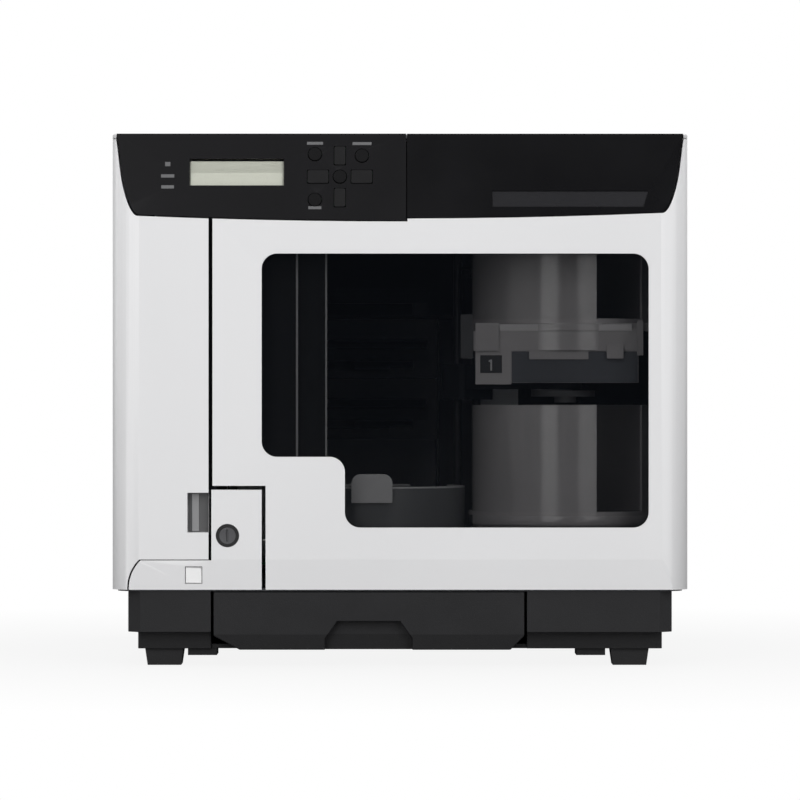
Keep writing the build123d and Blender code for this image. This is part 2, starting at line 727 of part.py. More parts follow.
with BuildPart() as power_button:
    half = power_size / 2
    block(power_xz[0] - half, power_xz[0] + half, front_y + power_recess,
          front_y + power_recess + power_length, power_xz[1] - half, power_xz[1] + half)
    fillet(power_button.faces().sort_by(Axis.Y)[0].edges(), power_edge_r)
keep(power_button, "power_button")

with BuildPart() as lock_cylinder:
    x, z = lock_xz
    peg(x, z, front_y + lock_inset, front_y + lock_depth, lock_r)
    fillet(lock_cylinder.faces().sort_by(Axis.Y)[0].edges(), lock_edge_r)
    block(x - key_slot[0] / 2, x + key_slot[0] / 2, front_y, front_y + lock_inset + key_slot[2],
          z - key_slot[1] / 2, z + key_slot[1] / 2, Mode.SUBTRACT)
    block(x - cam_w / 2, x + cam_w / 2, front_y + lock_depth, front_y + lock_depth + cam_t,
          z - cam_tail, z + cam_reach)
keep(lock_cylinder, "lock_cylinder")

# ---- Control band ------------------------------------------------------------------------
lcd_middle = on_band(sum(lcd_x) / 2, sum(lcd_z) / 2)
lcd_w = lcd_x[1] - lcd_x[0]
lcd_h = lcd_z[1] - lcd_z[0]


def bosses(side, y0):
    """The posts that hold one panel of the band to the front frame."""
    for boss_x in boss_xs[side]:
        block(boss_x - boss_w / 2, boss_x + boss_w / 2, y0, frame_y, boss_zs[side],
              boss_zs[side] + boss_h)


def slot_outline(x0, x1, z0, z1):
    """The status window's outline on the band, with its slanted right end."""
    with BuildSketch() as sketch:
        with BuildLine():
            Polyline(on_band(x0, z0), on_band(x1 - slot_slant, z0), on_band(x1, z1),
                     on_band(x0, z1), close=True)
        make_face()
    return sketch.sketch


with BuildPart() as control_fascia:
    with BuildSketch(front_plane):
        add(left_band)
    extrude(amount=-(front_corner_r - fit_gap))
    split(bisect_by=left_plane, keep=Keep.BOTTOM)
    split(bisect_by=left_plane.offset(-fascia_t), keep=Keep.TOP)
    block(-band_top_half, band_split_x, front_y + fascia_return[0], front_y + fascia_return[1],
          lid_z0, height)
    split(bisect_by=left_plane, keep=Keep.BOTTOM)
    bosses(-1, front_y + fascia_t)
    block(lcd_x[0], lcd_x[1], front_y, frame_y, lcd_z[0], lcd_z[1], Mode.SUBTRACT)
    with BuildSketch(left_plane):
        for x, z in round_keys.values():
            with Locations(on_band(x, z)):
                Circle(round_key_r + key_gap)
        for x, z, size in cross_keys.values():
            with Locations(on_band(x, z)):
                Rectangle(size[0] + 2 * key_gap, size[1] + 2 * key_gap)
        for lamp_z in lamp_zs:
            with Locations(on_band(lamp_x, lamp_z)):
                Circle(lamp_r + run_gap)
    extrude(amount=-2 * fascia_t, mode=Mode.SUBTRACT)
    with BuildSketch(left_plane.offset(-fascia_t)):
        for x, z in board_posts:
            with Locations(on_band(x, z)):
                Circle(board_post_r)
    extrude(amount=fascia_t - key_depth)
keep(control_fascia, "control_fascia")

with BuildPart() as status_fascia:
    with BuildSketch(front_plane):
        add(right_band)
        with Locations((band_split_x, (band_right_z + height) / 2)):
            Rectangle(2 * seam, height, mode=Mode.SUBTRACT)
    extrude(amount=-(front_corner_r - fit_gap))
    split(bisect_by=right_plane, keep=Keep.BOTTOM)
    split(bisect_by=right_plane.offset(-fascia_t), keep=Keep.TOP)
    block(band_split_x + seam, band_top_half, front_y + fascia_return[0] + band_step,
          front_y + fascia_return[1], lid_z0, height)
    split(bisect_by=right_plane, keep=Keep.BOTTOM)
    bosses(1, front_y + fascia_t + 2 * band_step)
    with BuildSketch(right_plane):
        add(slot_outline(*slot_x, *slot_z))
    extrude(amount=-slot_depth, mode=Mode.SUBTRACT)
keep(status_fascia, "status_fascia")

with BuildPart() as panel_windows:
    with BuildSketch(right_plane.offset(-slot_depth)):
        add(slot_outline(slot_x[0] + slot_fit, slot_x[1] - slot_fit, slot_z[0] + slot_fit,
                         slot_z[1] - slot_fit))
    extrude(amount=slot_pane_t)
    with BuildSketch(left_plane.offset(-lcd_recess)):
        with Locations(lcd_middle):
            Rectangle(lcd_w - 2 * slot_fit, lcd_h * slope - 1.6)
    extrude(amount=lcd_pane_t)
keep(panel_windows, "panel_windows")

with BuildPart() as lcd_display:
    with BuildSketch(left_plane.offset(-lcd_recess - lcd_glass_t)):
        with Locations(lcd_middle):
            Rectangle(lcd_w + 2 * lcd_module_lip, lcd_h + 2 * lcd_module_lip)
    extrude(amount=-lcd_module_t)
    with BuildSketch(left_plane.offset(-lcd_recess)):
        with Locations(lcd_middle):
            Rectangle(lcd_w - 1, lcd_h * slope - 1)
    extrude(amount=-lcd_glass_t)
keep(lcd_display, "lcd_display")

with BuildPart() as status_lamps:
    with BuildSketch(left_plane.offset(lamp_proud)):
        for lamp_z in lamp_zs:
            with Locations(on_band(lamp_x, lamp_z)):
                Circle(lamp_r)
    extrude(amount=1.4 - key_depth)
keep(status_lamps, "status_lamps")

for name, (x, z) in round_keys.items():
    with BuildPart() as key:
        with BuildSketch(left_plane.offset(key_proud)):
            with Locations(on_band(x, z)):
                Circle(round_key_r)
        extrude(amount=-key_length)
        fillet(key.edges().sort_by(Axis.Y)[0], key_edge_r)
    keep(key, name)

for name, (x, z, size) in cross_keys.items():
    with BuildPart() as key:
        with BuildSketch(left_plane.offset(key_proud)):
            with Locations(on_band(x, z)):
                RectangleRounded(*size, 2 * key_edge_r)
        extrude(amount=-key_length)
    keep(key, name)

with BuildPart() as key_board:
    with BuildSketch(left_plane.offset(-key_depth)):
        with Locations(on_band(cross_x - 0.45, cross_z)):
            Rectangle(*board_size)
        with Locations(on_band(lamp_x, lamp_zs[1])):
            Rectangle(*lamp_board_size)
    extrude(amount=-board_t)
keep(key_board, "key_board")

# ---- Front frame ---------------------------------------------------------------------------
with BuildPart() as front_frame:
    block(-frame_half_w, frame_half_w, frame_y, frame_y + frame_t, deck_top, bay_top)
    block(-frame_half_w + frame_post, bay_left_x - 2, frame_y, frame_y + frame_t, frame_open_z[0],
          frame_open_z[1], Mode.SUBTRACT)
    block(bay_left_x + frame_post, frame_half_w - frame_post, frame_y, frame_y + frame_t,
          frame_open_z[0], frame_open_z[1], Mode.SUBTRACT)
    block(*frame_keys_x, frame_y, frame_y + frame_t, frame_keys_z0, bay_top, Mode.SUBTRACT)
keep(front_frame, "front_frame")

with BuildPart() as bay_walls:
    block(bay_left_x, bay_left_x + sheet, flange_y, drive_y0, deck_top, bay_top)
    block(bay_left_x, flange_xs[0], flange_y, flange_y + sheet, *flange_z)
    block(flange_xs[0] - sheet, flange_xs[0], flange_y, flange_y + flange_step + sheet, *flange_z)
    block(flange_xs[0] - sheet, flange_xs[1], flange_y + flange_step,
          flange_y + flange_step + sheet, *flange_z)
    block(bay_right_x, bay_right_x + sheet, frame_y + frame_t, bay_rear_y, deck_top, bay_top)
    block(bay_rear_x0, bay_right_x + sheet, bay_rear_y, bay_rear_y + sheet, deck_top, bay_top)
keep(bay_walls, "bay_walls")

# ---- Stackers --------------------------------------------------------------------------------


def stacker(name, x, z0, rim, with_front_slot):
    """A disc cup with a slotted floor, open towards the mast so that the arm can pass."""
    to_mast = degrees(atan2(mast_y - stack_y, mast_x - x))
    outer_r = well_r + cup_wall
    with BuildPart() as cup:
        post(x, stack_y, z0, rim, outer_r)
        post(x, stack_y, z0, z0 + cup_flange_h, outer_r + cup_flange)
        post(x, stack_y, z0 + cup_floor, rim, well_r, Mode.SUBTRACT)
        post(x, stack_y, z0, z0 + cup_floor, arm_hole_r, Mode.SUBTRACT)
        with Locations(Location((x, stack_y, (z0 + rim) / 2), (0, 0, to_mast))):
            Box(2 * outer_r, arm_slot_w, rim - z0, align=(Align.MIN, Align.CENTER, Align.CENTER),
                mode=Mode.SUBTRACT)
        if not with_front_slot:
            with BuildSketch(Plane.XZ.offset(outer_r + handle_proud - stack_y)) as grip:
                with Locations((sum(handle_x) / 2, sum(handle_z) / 2)):
                    Rectangle(handle_x[1] - handle_x[0], handle_z[1] - handle_z[0])
                fillet(grip.vertices().group_by(Axis.Y)[-1], handle_r)
            extrude(amount=-(handle_proud + cup_wall - 0.1))
        if with_front_slot:
            middle = sum(front_slot) / 2 - 90
            chord = 2 * outer_r * sin(radians((front_slot[1] - front_slot[0]) / 2))
            with Locations(Location((x, stack_y, (z0 + rim) / 2), (0, 0, middle))):
                with Locations((well_r / 2, 0, cup_flange_h / 2)):
                    Box(outer_r, chord, rim - z0 - cup_flange_h,
                        align=(Align.MIN, Align.CENTER, Align.CENTER), mode=Mode.SUBTRACT)
    keep(cup, name)


stacker("stacker_1", pair_x, upper_z0, upper_rim, True)
stacker("stacker_2", pair_x, lower_z0, lower_rim, True)
stacker("stacker_3", single_x, deck_top, single_rim, False)

to_mast_angle = degrees(atan2(mast_y - stack_y, mast_x - pair_x))
seat_z0 = upper_z0 - shelf_t
with BuildPart() as stacker_supports:
    post(pair_x, stack_y, seat_z0, upper_z0, shelf_r)
    block(pair_x, bay_right_x, seat_front_y + seat_t, stack_y + shelf_r - 5, seat_z0, upper_z0)
    post(pair_x, stack_y, lower_z0 - pedestal_h, lower_z0, shelf_r)
    post(pair_x, stack_y, deck_top, lower_z0 - pedestal_h, pedestal_r)
    for z0, z1, radius in ((seat_z0, upper_z0, arm_hole_r), (deck_top, lower_z0, pedestal_bore_r)):
        post(pair_x, stack_y, z0, z1, radius, Mode.SUBTRACT)
    with Locations(Location((pair_x, stack_y, height / 2), (0, 0, to_mast_angle))):
        Box(2 * shelf_r, arm_slot_w, height, align=(Align.MIN, Align.CENTER, Align.CENTER),
            mode=Mode.SUBTRACT)
    for x0, x1, y0, y1, z0, z1 in shelf_front:
        block(pair_x + x0, pair_x + x1, seat_front_y + y0, seat_front_y + y1, upper_z0 + z0,
              upper_z0 + z1)
keep(stacker_supports, "stacker_supports")

# ---- Mast and arm ------------------------------------------------------------------------------
mast_z0 = deck_top + bush_h
pulley_z0 = mast_z0 + mast_shaft_gap
lower_plate_z1 = pulley_z0 + pulley_h + mast_plate_t
upper_plate_z0 = lid_z0 - mast_top_drop
top_bush_z0 = lid_z0 - top_bush_h
arm_frame = Plane(origin=(mast_x, mast_y, 0), x_dir=(cos(radians(arm_angle)),
                                                   sin(radians(arm_angle)), 0), z_dir=(0, 0, 1))

with BuildPart() as mast_bearings:
    post(mast_x, mast_y, deck_top, mast_z0, bush_r)
    post(mast_x, mast_y, top_bush_z0, lid_z0, bush_r)
    post(mast_x, mast_y, deck_top, lid_z0, mast_shaft_r + run_gap, Mode.SUBTRACT)
keep(mast_bearings, "mast_bearings")

with BuildPart() as mast_frame:
    post(mast_x, mast_y, deck_top + mast_shaft_gap, pulley_z0, mast_shaft_r)
    post(mast_x, mast_y, pulley_z0, pulley_z0 + pulley_h, pulley_r)
    post(mast_x, mast_y, pulley_z0 + pulley_h, lower_plate_z1, mast_plate_r)
    post(mast_x, mast_y, upper_plate_z0, upper_plate_z0 + mast_plate_t, mast_plate_r)
    post(mast_x, mast_y, upper_plate_z0 + mast_plate_t, lid_z0 - mast_shaft_gap, mast_shaft_r)
    with Locations(arm_frame.location):
        with Locations((0, rod_offset, (lower_plate_z1 + upper_plate_z0) / 2),
                       (0, -rod_offset, (lower_plate_z1 + upper_plate_z0) / 2)):
            Cylinder(rod_r, upper_plate_z0 - lower_plate_z1)
keep(mast_frame, "mast_frame")

with BuildPart() as arm_carriage:
    with BuildSketch(arm_frame.offset(arm_z[0])):
        RectangleRounded(*carriage_size)
    extrude(amount=arm_z[1] - arm_z[0])
    with BuildSketch(arm_frame.offset(arm_beam_z0)):
        with Locations((arm_reach / 2, 0)):
            SlotCenterToCenter(arm_reach, arm_w)
    extrude(amount=arm_z[1] - arm_beam_z0)
    with BuildSketch(arm_frame.offset(arm_z[0])):
        with Locations((0, rod_offset), (0, -rod_offset)):
            Circle(rod_r + run_gap)
    extrude(amount=arm_z[1] - arm_z[0], mode=Mode.SUBTRACT)
keep(arm_carriage, "arm_carriage")

with BuildPart() as arm_gripper:
    with BuildSketch(arm_frame.offset(arm_bottom)):
        with Locations((arm_reach, 0)):
            Circle(jaw_r)
    extrude(amount=grip_t)
    with BuildSketch(arm_frame.offset(arm_bottom + grip_t)):
        with Locations((arm_reach, 0)):
            Circle(grip_r)
    extrude(amount=grip_t)
    with BuildSketch(arm_frame.offset(arm_bottom + grip_t)):
        with Locations((arm_reach - housing_back, 0)):
            Circle(housing_r)
    extrude(amount=arm_beam_z0 - arm_bottom - grip_t)
keep(arm_gripper, "arm_gripper")

# ---- Swing drive --------------------------------------------------------------------------------
motor_z0 = pulley_z0 + pulley_h + motor_lift
motor_plate_z1 = motor_z0 + motor_plate[1]
belt_run = hypot(motor_xy[0] - mast_x, motor_xy[1] - mast_y)
belt_angle = degrees(atan2(motor_xy[1] - mast_y, motor_xy[0] - mast_x))
belt_w = pulley_h - 2 * belt_edge
belt_frame = Plane(origin=(mast_x, mast_y, pulley_z0 + belt_edge),
                   x_dir=(cos(radians(belt_angle)), sin(radians(belt_angle)), 0), z_dir=(0, 0, 1))

with BuildPart() as swing_motor:
    half = motor_plate[0] / 2
    block(motor_xy[0] - half, motor_xy[0] + half, motor_xy[1] - half, motor_xy[1] + half,
          motor_z0, motor_plate_z1)
    for x in (motor_xy[0] - half + motor_post_in, motor_xy[0] + half - motor_post_in):
        for y in (motor_xy[1] - half + motor_post_in, motor_xy[1] + half - motor_post_in):
            post(x, y, deck_top, motor_z0, motor_post_r)
    post(*motor_xy, motor_plate_z1, motor_plate_z1 + motor_can_h, motor_can_r)
    post(*motor_xy, motor_z0, motor_z0 + motor_bore_h, motor_shaft_r + run_gap, Mode.SUBTRACT)
keep(swing_motor, "swing_motor")

with BuildPart() as motor_pulley:
    post(*motor_xy, pulley_z0, pulley_z0 + pulley_h, motor_pulley_r)
    post(*motor_xy, pulley_z0 + pulley_h, motor_z0 + motor_bore_h - 2, motor_shaft_r)
keep(motor_pulley, "motor_pulley")


def belt_loop(extra):
    """The outline of a belt round the two pulleys, grown by extra."""
    big = pulley_r + extra
    small = motor_pulley_r + extra
    lean = degrees(atan2(sqrt(belt_run**2 - (big - small)**2), big - small))
    ends = [(radius * cos(radians(lean)) + x, radius * sin(radians(lean)))
            for radius, x in ((big, 0.0), (small, belt_run))]
    with BuildSketch(belt_frame) as sketch:
        Circle(big)
        with Locations((belt_run, 0)):
            Circle(small)
        with BuildLine():
            Polyline(ends[0], ends[1], (ends[1][0], -ends[1][1]), (ends[0][0], -ends[0][1]),
                     close=True)
        make_face()
    return sketch.sketch


belt_outer = belt_loop(belt_gap + belt_t)
belt_inner = belt_loop(belt_gap)
with BuildPart() as swing_belt:
    extrude(belt_outer, amount=belt_w)
    extrude(belt_inner, amount=belt_w, mode=Mode.SUBTRACT)
keep(swing_belt, "swing_belt")

# ---- Drives --------------------------------------------------------------------------------------
drive_half = drive_w / 2
closed_y = pick_y + tray_travel


def rails(y0, length, z0, z1):
    """The two rails that a tray slides on."""
    for side in (-1, 1):
        rail_x = drive_x + side * (tray_w / 2 - rail_in)
        block(rail_x - rail_w / 2, rail_x + rail_w / 2, y0, y0 + length, z0, z1)


def disc_tray(name, z0, bezel_y):
    """A sliding tray with a disc well, a spindle opening and a front bezel."""
    with BuildPart() as tray:
        block(drive_x - tray_w / 2, drive_x + tray_w / 2, bezel_y, bezel_y + tray_len, z0, z0 + tray_t)
        post(drive_x, closed_y, z0 + tray_t - tray_recess, z0 + tray_t, disc_r, Mode.SUBTRACT)
        post(drive_x, closed_y, z0, z0 + tray_t, tray_hole_r, Mode.SUBTRACT)
        block(drive_x - tray_hole_r, drive_x + tray_hole_r, closed_y, closed_y + tray_cut,
              z0, z0 + tray_t, Mode.SUBTRACT)
        bezel_z0 = z0 + tray_t / 2 - tray_bezel[1] / 2
        block(drive_x - tray_bezel[0] / 2, drive_x + tray_bezel[0] / 2, bezel_y - tray_bezel[2],
              bezel_y, bezel_z0, bezel_z0 + tray_bezel[1])
    keep(tray, name)


for number, drive_z0 in enumerate(reversed(drive_z0s), start=1):
    with BuildPart() as disc_drive:
        block(drive_x - drive_half, drive_x + drive_half, drive_y0, drive_y0 + drive_d,
              drive_z0, drive_z0 + drive_h)
        block(drive_x - tray_w / 2 - tray_side, drive_x + tray_w / 2 + tray_side, drive_y0,
              drive_y0 + tray_len + 4, drive_z0 + tray_up - tray_space,
              drive_z0 + tray_up + tray_t + tray_space, Mode.SUBTRACT)
        rails(drive_y0, tray_len, drive_z0 + tray_up - tray_space, drive_z0 + tray_up - fit_gap)
        post(drive_x, closed_y, drive_z0 + tray_up - tray_space, drive_z0 + tray_up - fit_gap,
             spindle_r)
        block(eject_x - eject_key[0] / 2, eject_x + eject_key[0] / 2, drive_y0 - eject_key[1],
              drive_y0, drive_z0 + eject_key[2], drive_z0 + 2 * eject_key[2])
    keep(disc_drive, "disc_drive_" + str(number))
    disc_tray("drive_tray_" + str(number), drive_z0 + tray_up, drive_y0 - fit_gap)

cage_x = (drive_x - drive_half - fit_gap - sheet, drive_x + drive_half + fit_gap + sheet)
with BuildPart() as drive_cage:
    for x in (cage_x[0], cage_x[1] - sheet):
        block(x, x + sheet, drive_y0 + cage_setback, drive_y0 + drive_d, deck_top, printer_z[0])
    block(cage_x[0], cage_x[1], drive_y0 + cage_setback, drive_y0 + drive_d,
          drive_z0s[0] - sheet, drive_z0s[0])
keep(drive_cage, "drive_cage")

# ---- Printer ---------------------------------------------------------------------------------------
print_tray_z0 = printer_z[0] + print_tray_up
with BuildPart() as printer_frame:
    block(*printer_x, *printer_y, printer_z[0], printer_z[0] + sheet)
    for x in (printer_x[0], printer_x[1] - sheet):
        block(x, x + sheet, *printer_y, printer_z[0], printer_z[1])
    block(*printer_x, printer_y[1] - sheet, printer_y[1], printer_z[0], printer_z[1])
    rails(printer_y[0], print_rail_len, printer_z[0], print_tray_z0 - fit_gap)
    with Locations((sum(printer_x) / 2, rail_y, rail_z)):
        Cylinder(rail_r, printer_x[1] - printer_x[0] - sheet, rotation=(0, 90, 0))
keep(printer_frame, "printer_frame")

with BuildPart() as print_head:
    block(head_park_x - head_w / 2, head_park_x + head_w / 2, *head_y, *head_z)
    fillet(print_head.edges().filter_by(Axis.Z), head_edge_r)
    block(head_park_x - head_w / 2 + nozzle_inset[0], head_park_x + head_w / 2 - nozzle_inset[0],
          head_y[0] + nozzle_inset[1], head_y[0] + nozzle_inset[1] + nozzle_size[0],
          head_z[0] - nozzle_size[1], head_z[0])
    with Locations((head_park_x, rail_y, rail_z)):
        Cylinder(rail_r + run_gap, head_w, rotation=(0, 90, 0), mode=Mode.SUBTRACT)
keep(print_head, "print_head")

disc_tray("print_tray", print_tray_z0, printer_y[0] - print_tray_lead)

# ---- Ink ---------------------------------------------------------------------------------------------
holder_x1 = ink_x0 + ink_w + 2 * sheet + 2 * fit_gap
holder_z1 = ink_z0 + ink_count * ink_pitch
case_x = (ink_x0 + sheet + fit_gap, holder_x1 - sheet - fit_gap)
with BuildPart() as ink_holder:
    block(ink_x0, holder_x1, ink_y[1] + fit_gap, ink_y[1] + ink_back_t, deck_top, holder_z1)
    for x in (ink_x0, holder_x1 - sheet):
        block(x, x + sheet, ink_rail_y0, ink_y[1] + fit_gap, ink_z0 - ink_side_drop, holder_z1)
    for level in range(ink_count + 1):
        z = ink_z0 + level * ink_pitch - sheet - fit_gap
        block(ink_x0, holder_x1, ink_rail_y0, ink_y[1] + fit_gap, z, z + sheet)
keep(ink_holder, "ink_holder")

with BuildPart() as ink_cartridges:
    for level in range(ink_count):
        z = ink_z0 + level * ink_pitch
        block(*case_x, *ink_y, z, z + ink_h)
        block(case_x[0] + ink_grip[0], case_x[1] - ink_grip[0], ink_y[0] - ink_grip[2], ink_y[0],
              z + ink_grip[1], z + ink_h - ink_grip[1])
keep(ink_cartridges, "ink_cartridges")

# ---- Drawer ------------------------------------------------------------------------------------------
drawer_y0 = base_y0
with BuildPart() as drawer:
    block(single_x - drawer_half_w, single_x + drawer_half_w, drawer_y0 + drawer_front_t, drawer_y1,
          drawer_floor_z, drawer_floor_z + drawer_wall_h)
    post(single_x, stack_y, drawer_floor_z + drawer_wall, drawer_floor_z + drawer_wall_h, well_r,
         Mode.SUBTRACT)
    post(single_x, stack_y, drawer_floor_z, drawer_floor_z + drawer_wall, arm_hole_r, Mode.SUBTRACT)
    with BuildSketch(Plane.XZ.offset(-drawer_y0)):
        with BuildLine():
            Polyline((drawer_x[0], base_top - seam), (drawer_x[0], drawer_bottom + drawer_chamfer),
                     (drawer_x[0] + drawer_cuts[0], drawer_bottom),
                     (drawer_x[1] - drawer_cuts[1], drawer_bottom),
                     (drawer_x[1], drawer_bottom + drawer_chamfer), (drawer_x[1], base_top - seam),
                     close=True)
        make_face()
    extrude(amount=-drawer_front_t)
    with BuildSketch(Plane.XZ.offset(-drawer_y0)):
        with BuildLine():
            Polyline((pull_top[0], pull_top[2]), (pull_top[1], pull_top[2]),
                     (pull_bottom[1], pull_bottom[2]), (pull_bottom[1], drawer_bottom),
                     (pull_bottom[0], drawer_bottom), (pull_bottom[0], pull_bottom[2]), close=True)
        make_face()
    extrude(amount=-pull_depth, mode=Mode.SUBTRACT)
keep(drawer, "drawer")

# ---- Electronics, fan and connectors --------------------------------------------------------------------
with BuildPart() as power_supply:
    block(*psu_x, *psu_y, deck_top, deck_top + psu_h)
    fillet(power_supply.edges().filter_by(Axis.Y).group_by(Axis.Z)[-1], psu_edge_r)
keep(power_supply, "power_supply")

board_z0 = deck_top + board_up
with BuildPart() as main_board:
    block(*board_x, *board_y, board_z0, board_z0 + board_t)
    for x in (board_x[0] + board_foot_in, board_x[1] - board_foot_in):
        for y in (board_y[0] + board_foot_in, board_y[1] - board_foot_in):
            post(x, y, deck_top, board_z0, board_foot_r)
    for chip_x, chip_y, w, d, h in chips:
        block(drive_x + chip_x - w / 2, drive_x + chip_x + w / 2, drive_y0 + chip_y - d / 2,
              drive_y0 + chip_y + d / 2, board_z0 + board_t, board_z0 + board_t + h)
keep(main_board, "main_board")

with BuildPart() as data_ports:
    for port_x, port_w, port_h in port_specs:
        z0 = deck_top + port_up
        half = port_w / 2 - port_fit
        block(port_x - half, port_x + half, rear_sheet_y - port_depth, rear_sheet_y, z0,
              z0 + port_h - port_fit)
        block(port_x - half + port_wall, port_x + half - port_wall,
              rear_sheet_y - port_depth + port_back, rear_sheet_y, z0 + port_wall + port_fit,
              z0 + port_h - port_wall - 2 * port_fit, Mode.SUBTRACT)
keep(data_ports, "data_ports")

fan_y1 = rear_sheet_y - sheet
fan_y0 = fan_y1 - fan_t
with BuildPart() as fan_frame:
    x, z = fan_xz
    half = fan_size / 2
    block(x - half, x + half, fan_y0, fan_y1, z - half, z + half)
    fillet(fan_frame.edges().filter_by(Axis.Y), fan_corner_r)
    peg(x, z, fan_y0, fan_y1, fan_blade_r + 1, Mode.SUBTRACT)
    for half_x, half_z in ((fan_blade_r + 2, fan_spider_w / 2), (fan_spider_w / 2, fan_blade_r + 2)):
        block(x - half_x, x + half_x, fan_y0, fan_y0 + fan_spider_t, z - half_z, z + half_z)
    peg(x, z, fan_y0, fan_y0 + fan_spider_t, fan_hub_r)
    peg(x, z, fan_y0 + fan_spider_t, fan_y0 + fan_spider_t + fan_pin_l, fan_pin_r)
keep(fan_frame, "fan_frame")

hub_y0 = fan_y0 + fan_spider_t + fit_gap
with BuildPart() as fan_rotor:
    peg(*fan_xz, hub_y0, fan_y1, fan_hub_r)
    peg(*fan_xz, hub_y0, hub_y0 + fan_pin_l, fan_pin_r + run_gap, Mode.SUBTRACT)
    for turn in range(fan_blades):
        with Locations(Location((fan_xz[0], fan_y0 + fan_t / 2 + 1, fan_xz[1]),
                                (0, turn * 360 / fan_blades, 0))):
            with Locations(Location((fan_hub_r - 2, 0, 0), (fan_pitch, 0, 0))):
                Box(fan_blade_r - fan_hub_r + 2, *fan_blade_size,
                    align=(Align.MIN, Align.CENTER, Align.CENTER))
keep(fan_rotor, "fan_rotor")

rocker_axis_y = rear_sheet_y - 3.0
with BuildPart() as power_entry:
    x, z = inlet_xz
    half = (inlet_size[0] / 2 - entry_fit, inlet_size[1] / 2 - entry_fit)
    block(x - half[0], x + half[0], rear_sheet_y - inlet_depth, rear_sheet_y, z - half[1], z + half[1])
    block(x - half[0] - inlet_lip, x + half[0] + inlet_lip, rear_sheet_y,
          rear_sheet_y + inlet_lip_t, z - half[1] - inlet_lip, z + half[1] + inlet_lip)
    block(x - inlet_well[0] / 2, x + inlet_well[0] / 2, rear_sheet_y - inlet_well[2],
          rear_sheet_y + inlet_lip_t, z - inlet_well[1] / 2, z + inlet_well[1] / 2, Mode.SUBTRACT)
    for pin_x, pin_z in inlet_pins:
        block(x + pin_x - inlet_pin_size[0] / 2, x + pin_x + inlet_pin_size[0] / 2,
              rear_sheet_y - inlet_well[2], rear_sheet_y - inlet_pin_size[2],
              z + pin_z - inlet_pin_size[1] / 2, z + pin_z + inlet_pin_size[1] / 2)
    x, z = rocker_xz
    half = (rocker_size[0] / 2 - entry_fit, rocker_size[1] / 2 - entry_fit)
    block(x - half[0], x + half[0], rear_sheet_y - rocker_depth, rear_sheet_y, z - half[1],
          z + half[1])
    block(x - half[0] + rocker_wall[0], x + half[0] - rocker_wall[0],
          rear_sheet_y - rocker_depth + rocker_wall[1], rear_sheet_y,
          z - half[1] + rocker_wall[0], z + half[1] - rocker_wall[0], Mode.SUBTRACT)
    with Locations((x, rocker_axis_y, z)):
        Cylinder(rocker_pin_r, rocker_size[0] - rocker_wall[0], rotation=(0, 90, 0))
keep(power_entry, "power_entry")

with BuildPart() as power_switch:
    with BuildSketch(Plane.YZ.offset(rocker_xz[0] - rocker_size[0] / 2 + rocker_side)):
        with BuildLine():
            Polyline((rocker_axis_y - 4, rocker_xz[1] + 5), (rocker_axis_y - 4, rocker_xz[1] - 5),
                     (rocker_axis_y + 3.0, rocker_xz[1] - 8), (rocker_axis_y + 2.0, rocker_xz[1]),
                     (rocker_axis_y + 4.6, rocker_xz[1] + 8), close=True)
        make_face()
    extrude(amount=rocker_size[0] - 2 * rocker_side)
    with Locations((rocker_xz[0], rocker_axis_y, rocker_xz[1])):
        Cylinder(rocker_pin_r + run_gap, rocker_size[0], rotation=(0, 90, 0), mode=Mode.SUBTRACT)
keep(power_switch, "power_switch")

with BuildPart() as panel_screws:
    screw_y1 = rear_sheet_y + screw_h
    for x in screw_xs:
        for z in screw_zs:
            peg(x, z, rear_sheet_y, screw_y1, screw_r)
            for w, h in (screw_cross[:2], screw_cross[1::-1]):
                block(x - w / 2, x + w / 2, screw_y1 - screw_cross[2], screw_y1, z - h / 2,
                      z + h / 2, Mode.SUBTRACT)
keep(panel_screws, "panel_screws")

print("arm: reach %.2f angle %.2f mast %.2f, pick y %.2f" % (arm_reach, arm_angle, mast_x, pick_y))
print("print: drive swing %.2f" % (degrees(atan2(pick_y - mast_y, drive_x - mast_x)) - 360 - arm_angle))
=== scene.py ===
"""Looks of the disc label printer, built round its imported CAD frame."""
import json
import math

import bmesh
import bpy
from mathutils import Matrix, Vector


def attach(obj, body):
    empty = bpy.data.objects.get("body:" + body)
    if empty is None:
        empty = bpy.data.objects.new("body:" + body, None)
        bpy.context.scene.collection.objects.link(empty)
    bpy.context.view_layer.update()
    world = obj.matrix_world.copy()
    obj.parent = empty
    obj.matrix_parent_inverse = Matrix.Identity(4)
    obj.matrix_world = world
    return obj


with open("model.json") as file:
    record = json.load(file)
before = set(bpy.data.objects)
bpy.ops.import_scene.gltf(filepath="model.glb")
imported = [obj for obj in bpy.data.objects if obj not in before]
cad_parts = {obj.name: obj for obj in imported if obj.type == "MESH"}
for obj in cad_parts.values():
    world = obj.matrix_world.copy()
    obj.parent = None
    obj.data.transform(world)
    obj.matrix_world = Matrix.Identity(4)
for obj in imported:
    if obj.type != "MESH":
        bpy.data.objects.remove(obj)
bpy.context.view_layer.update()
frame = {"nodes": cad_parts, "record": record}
nodes = frame["nodes"]


# Lengths are in millimetres unless a comment says metres.
MM = 0.001
FRONT_Y = -232.5
BAND_LEAN = 0.154       # the control band's set-back per unit of height
BAND_Y0 = FRONT_Y + 0.1
BAND_Z0 = 291.1         # lower edge of the band
WHITE = (1.0, 1.0, 1.0, 1.0)

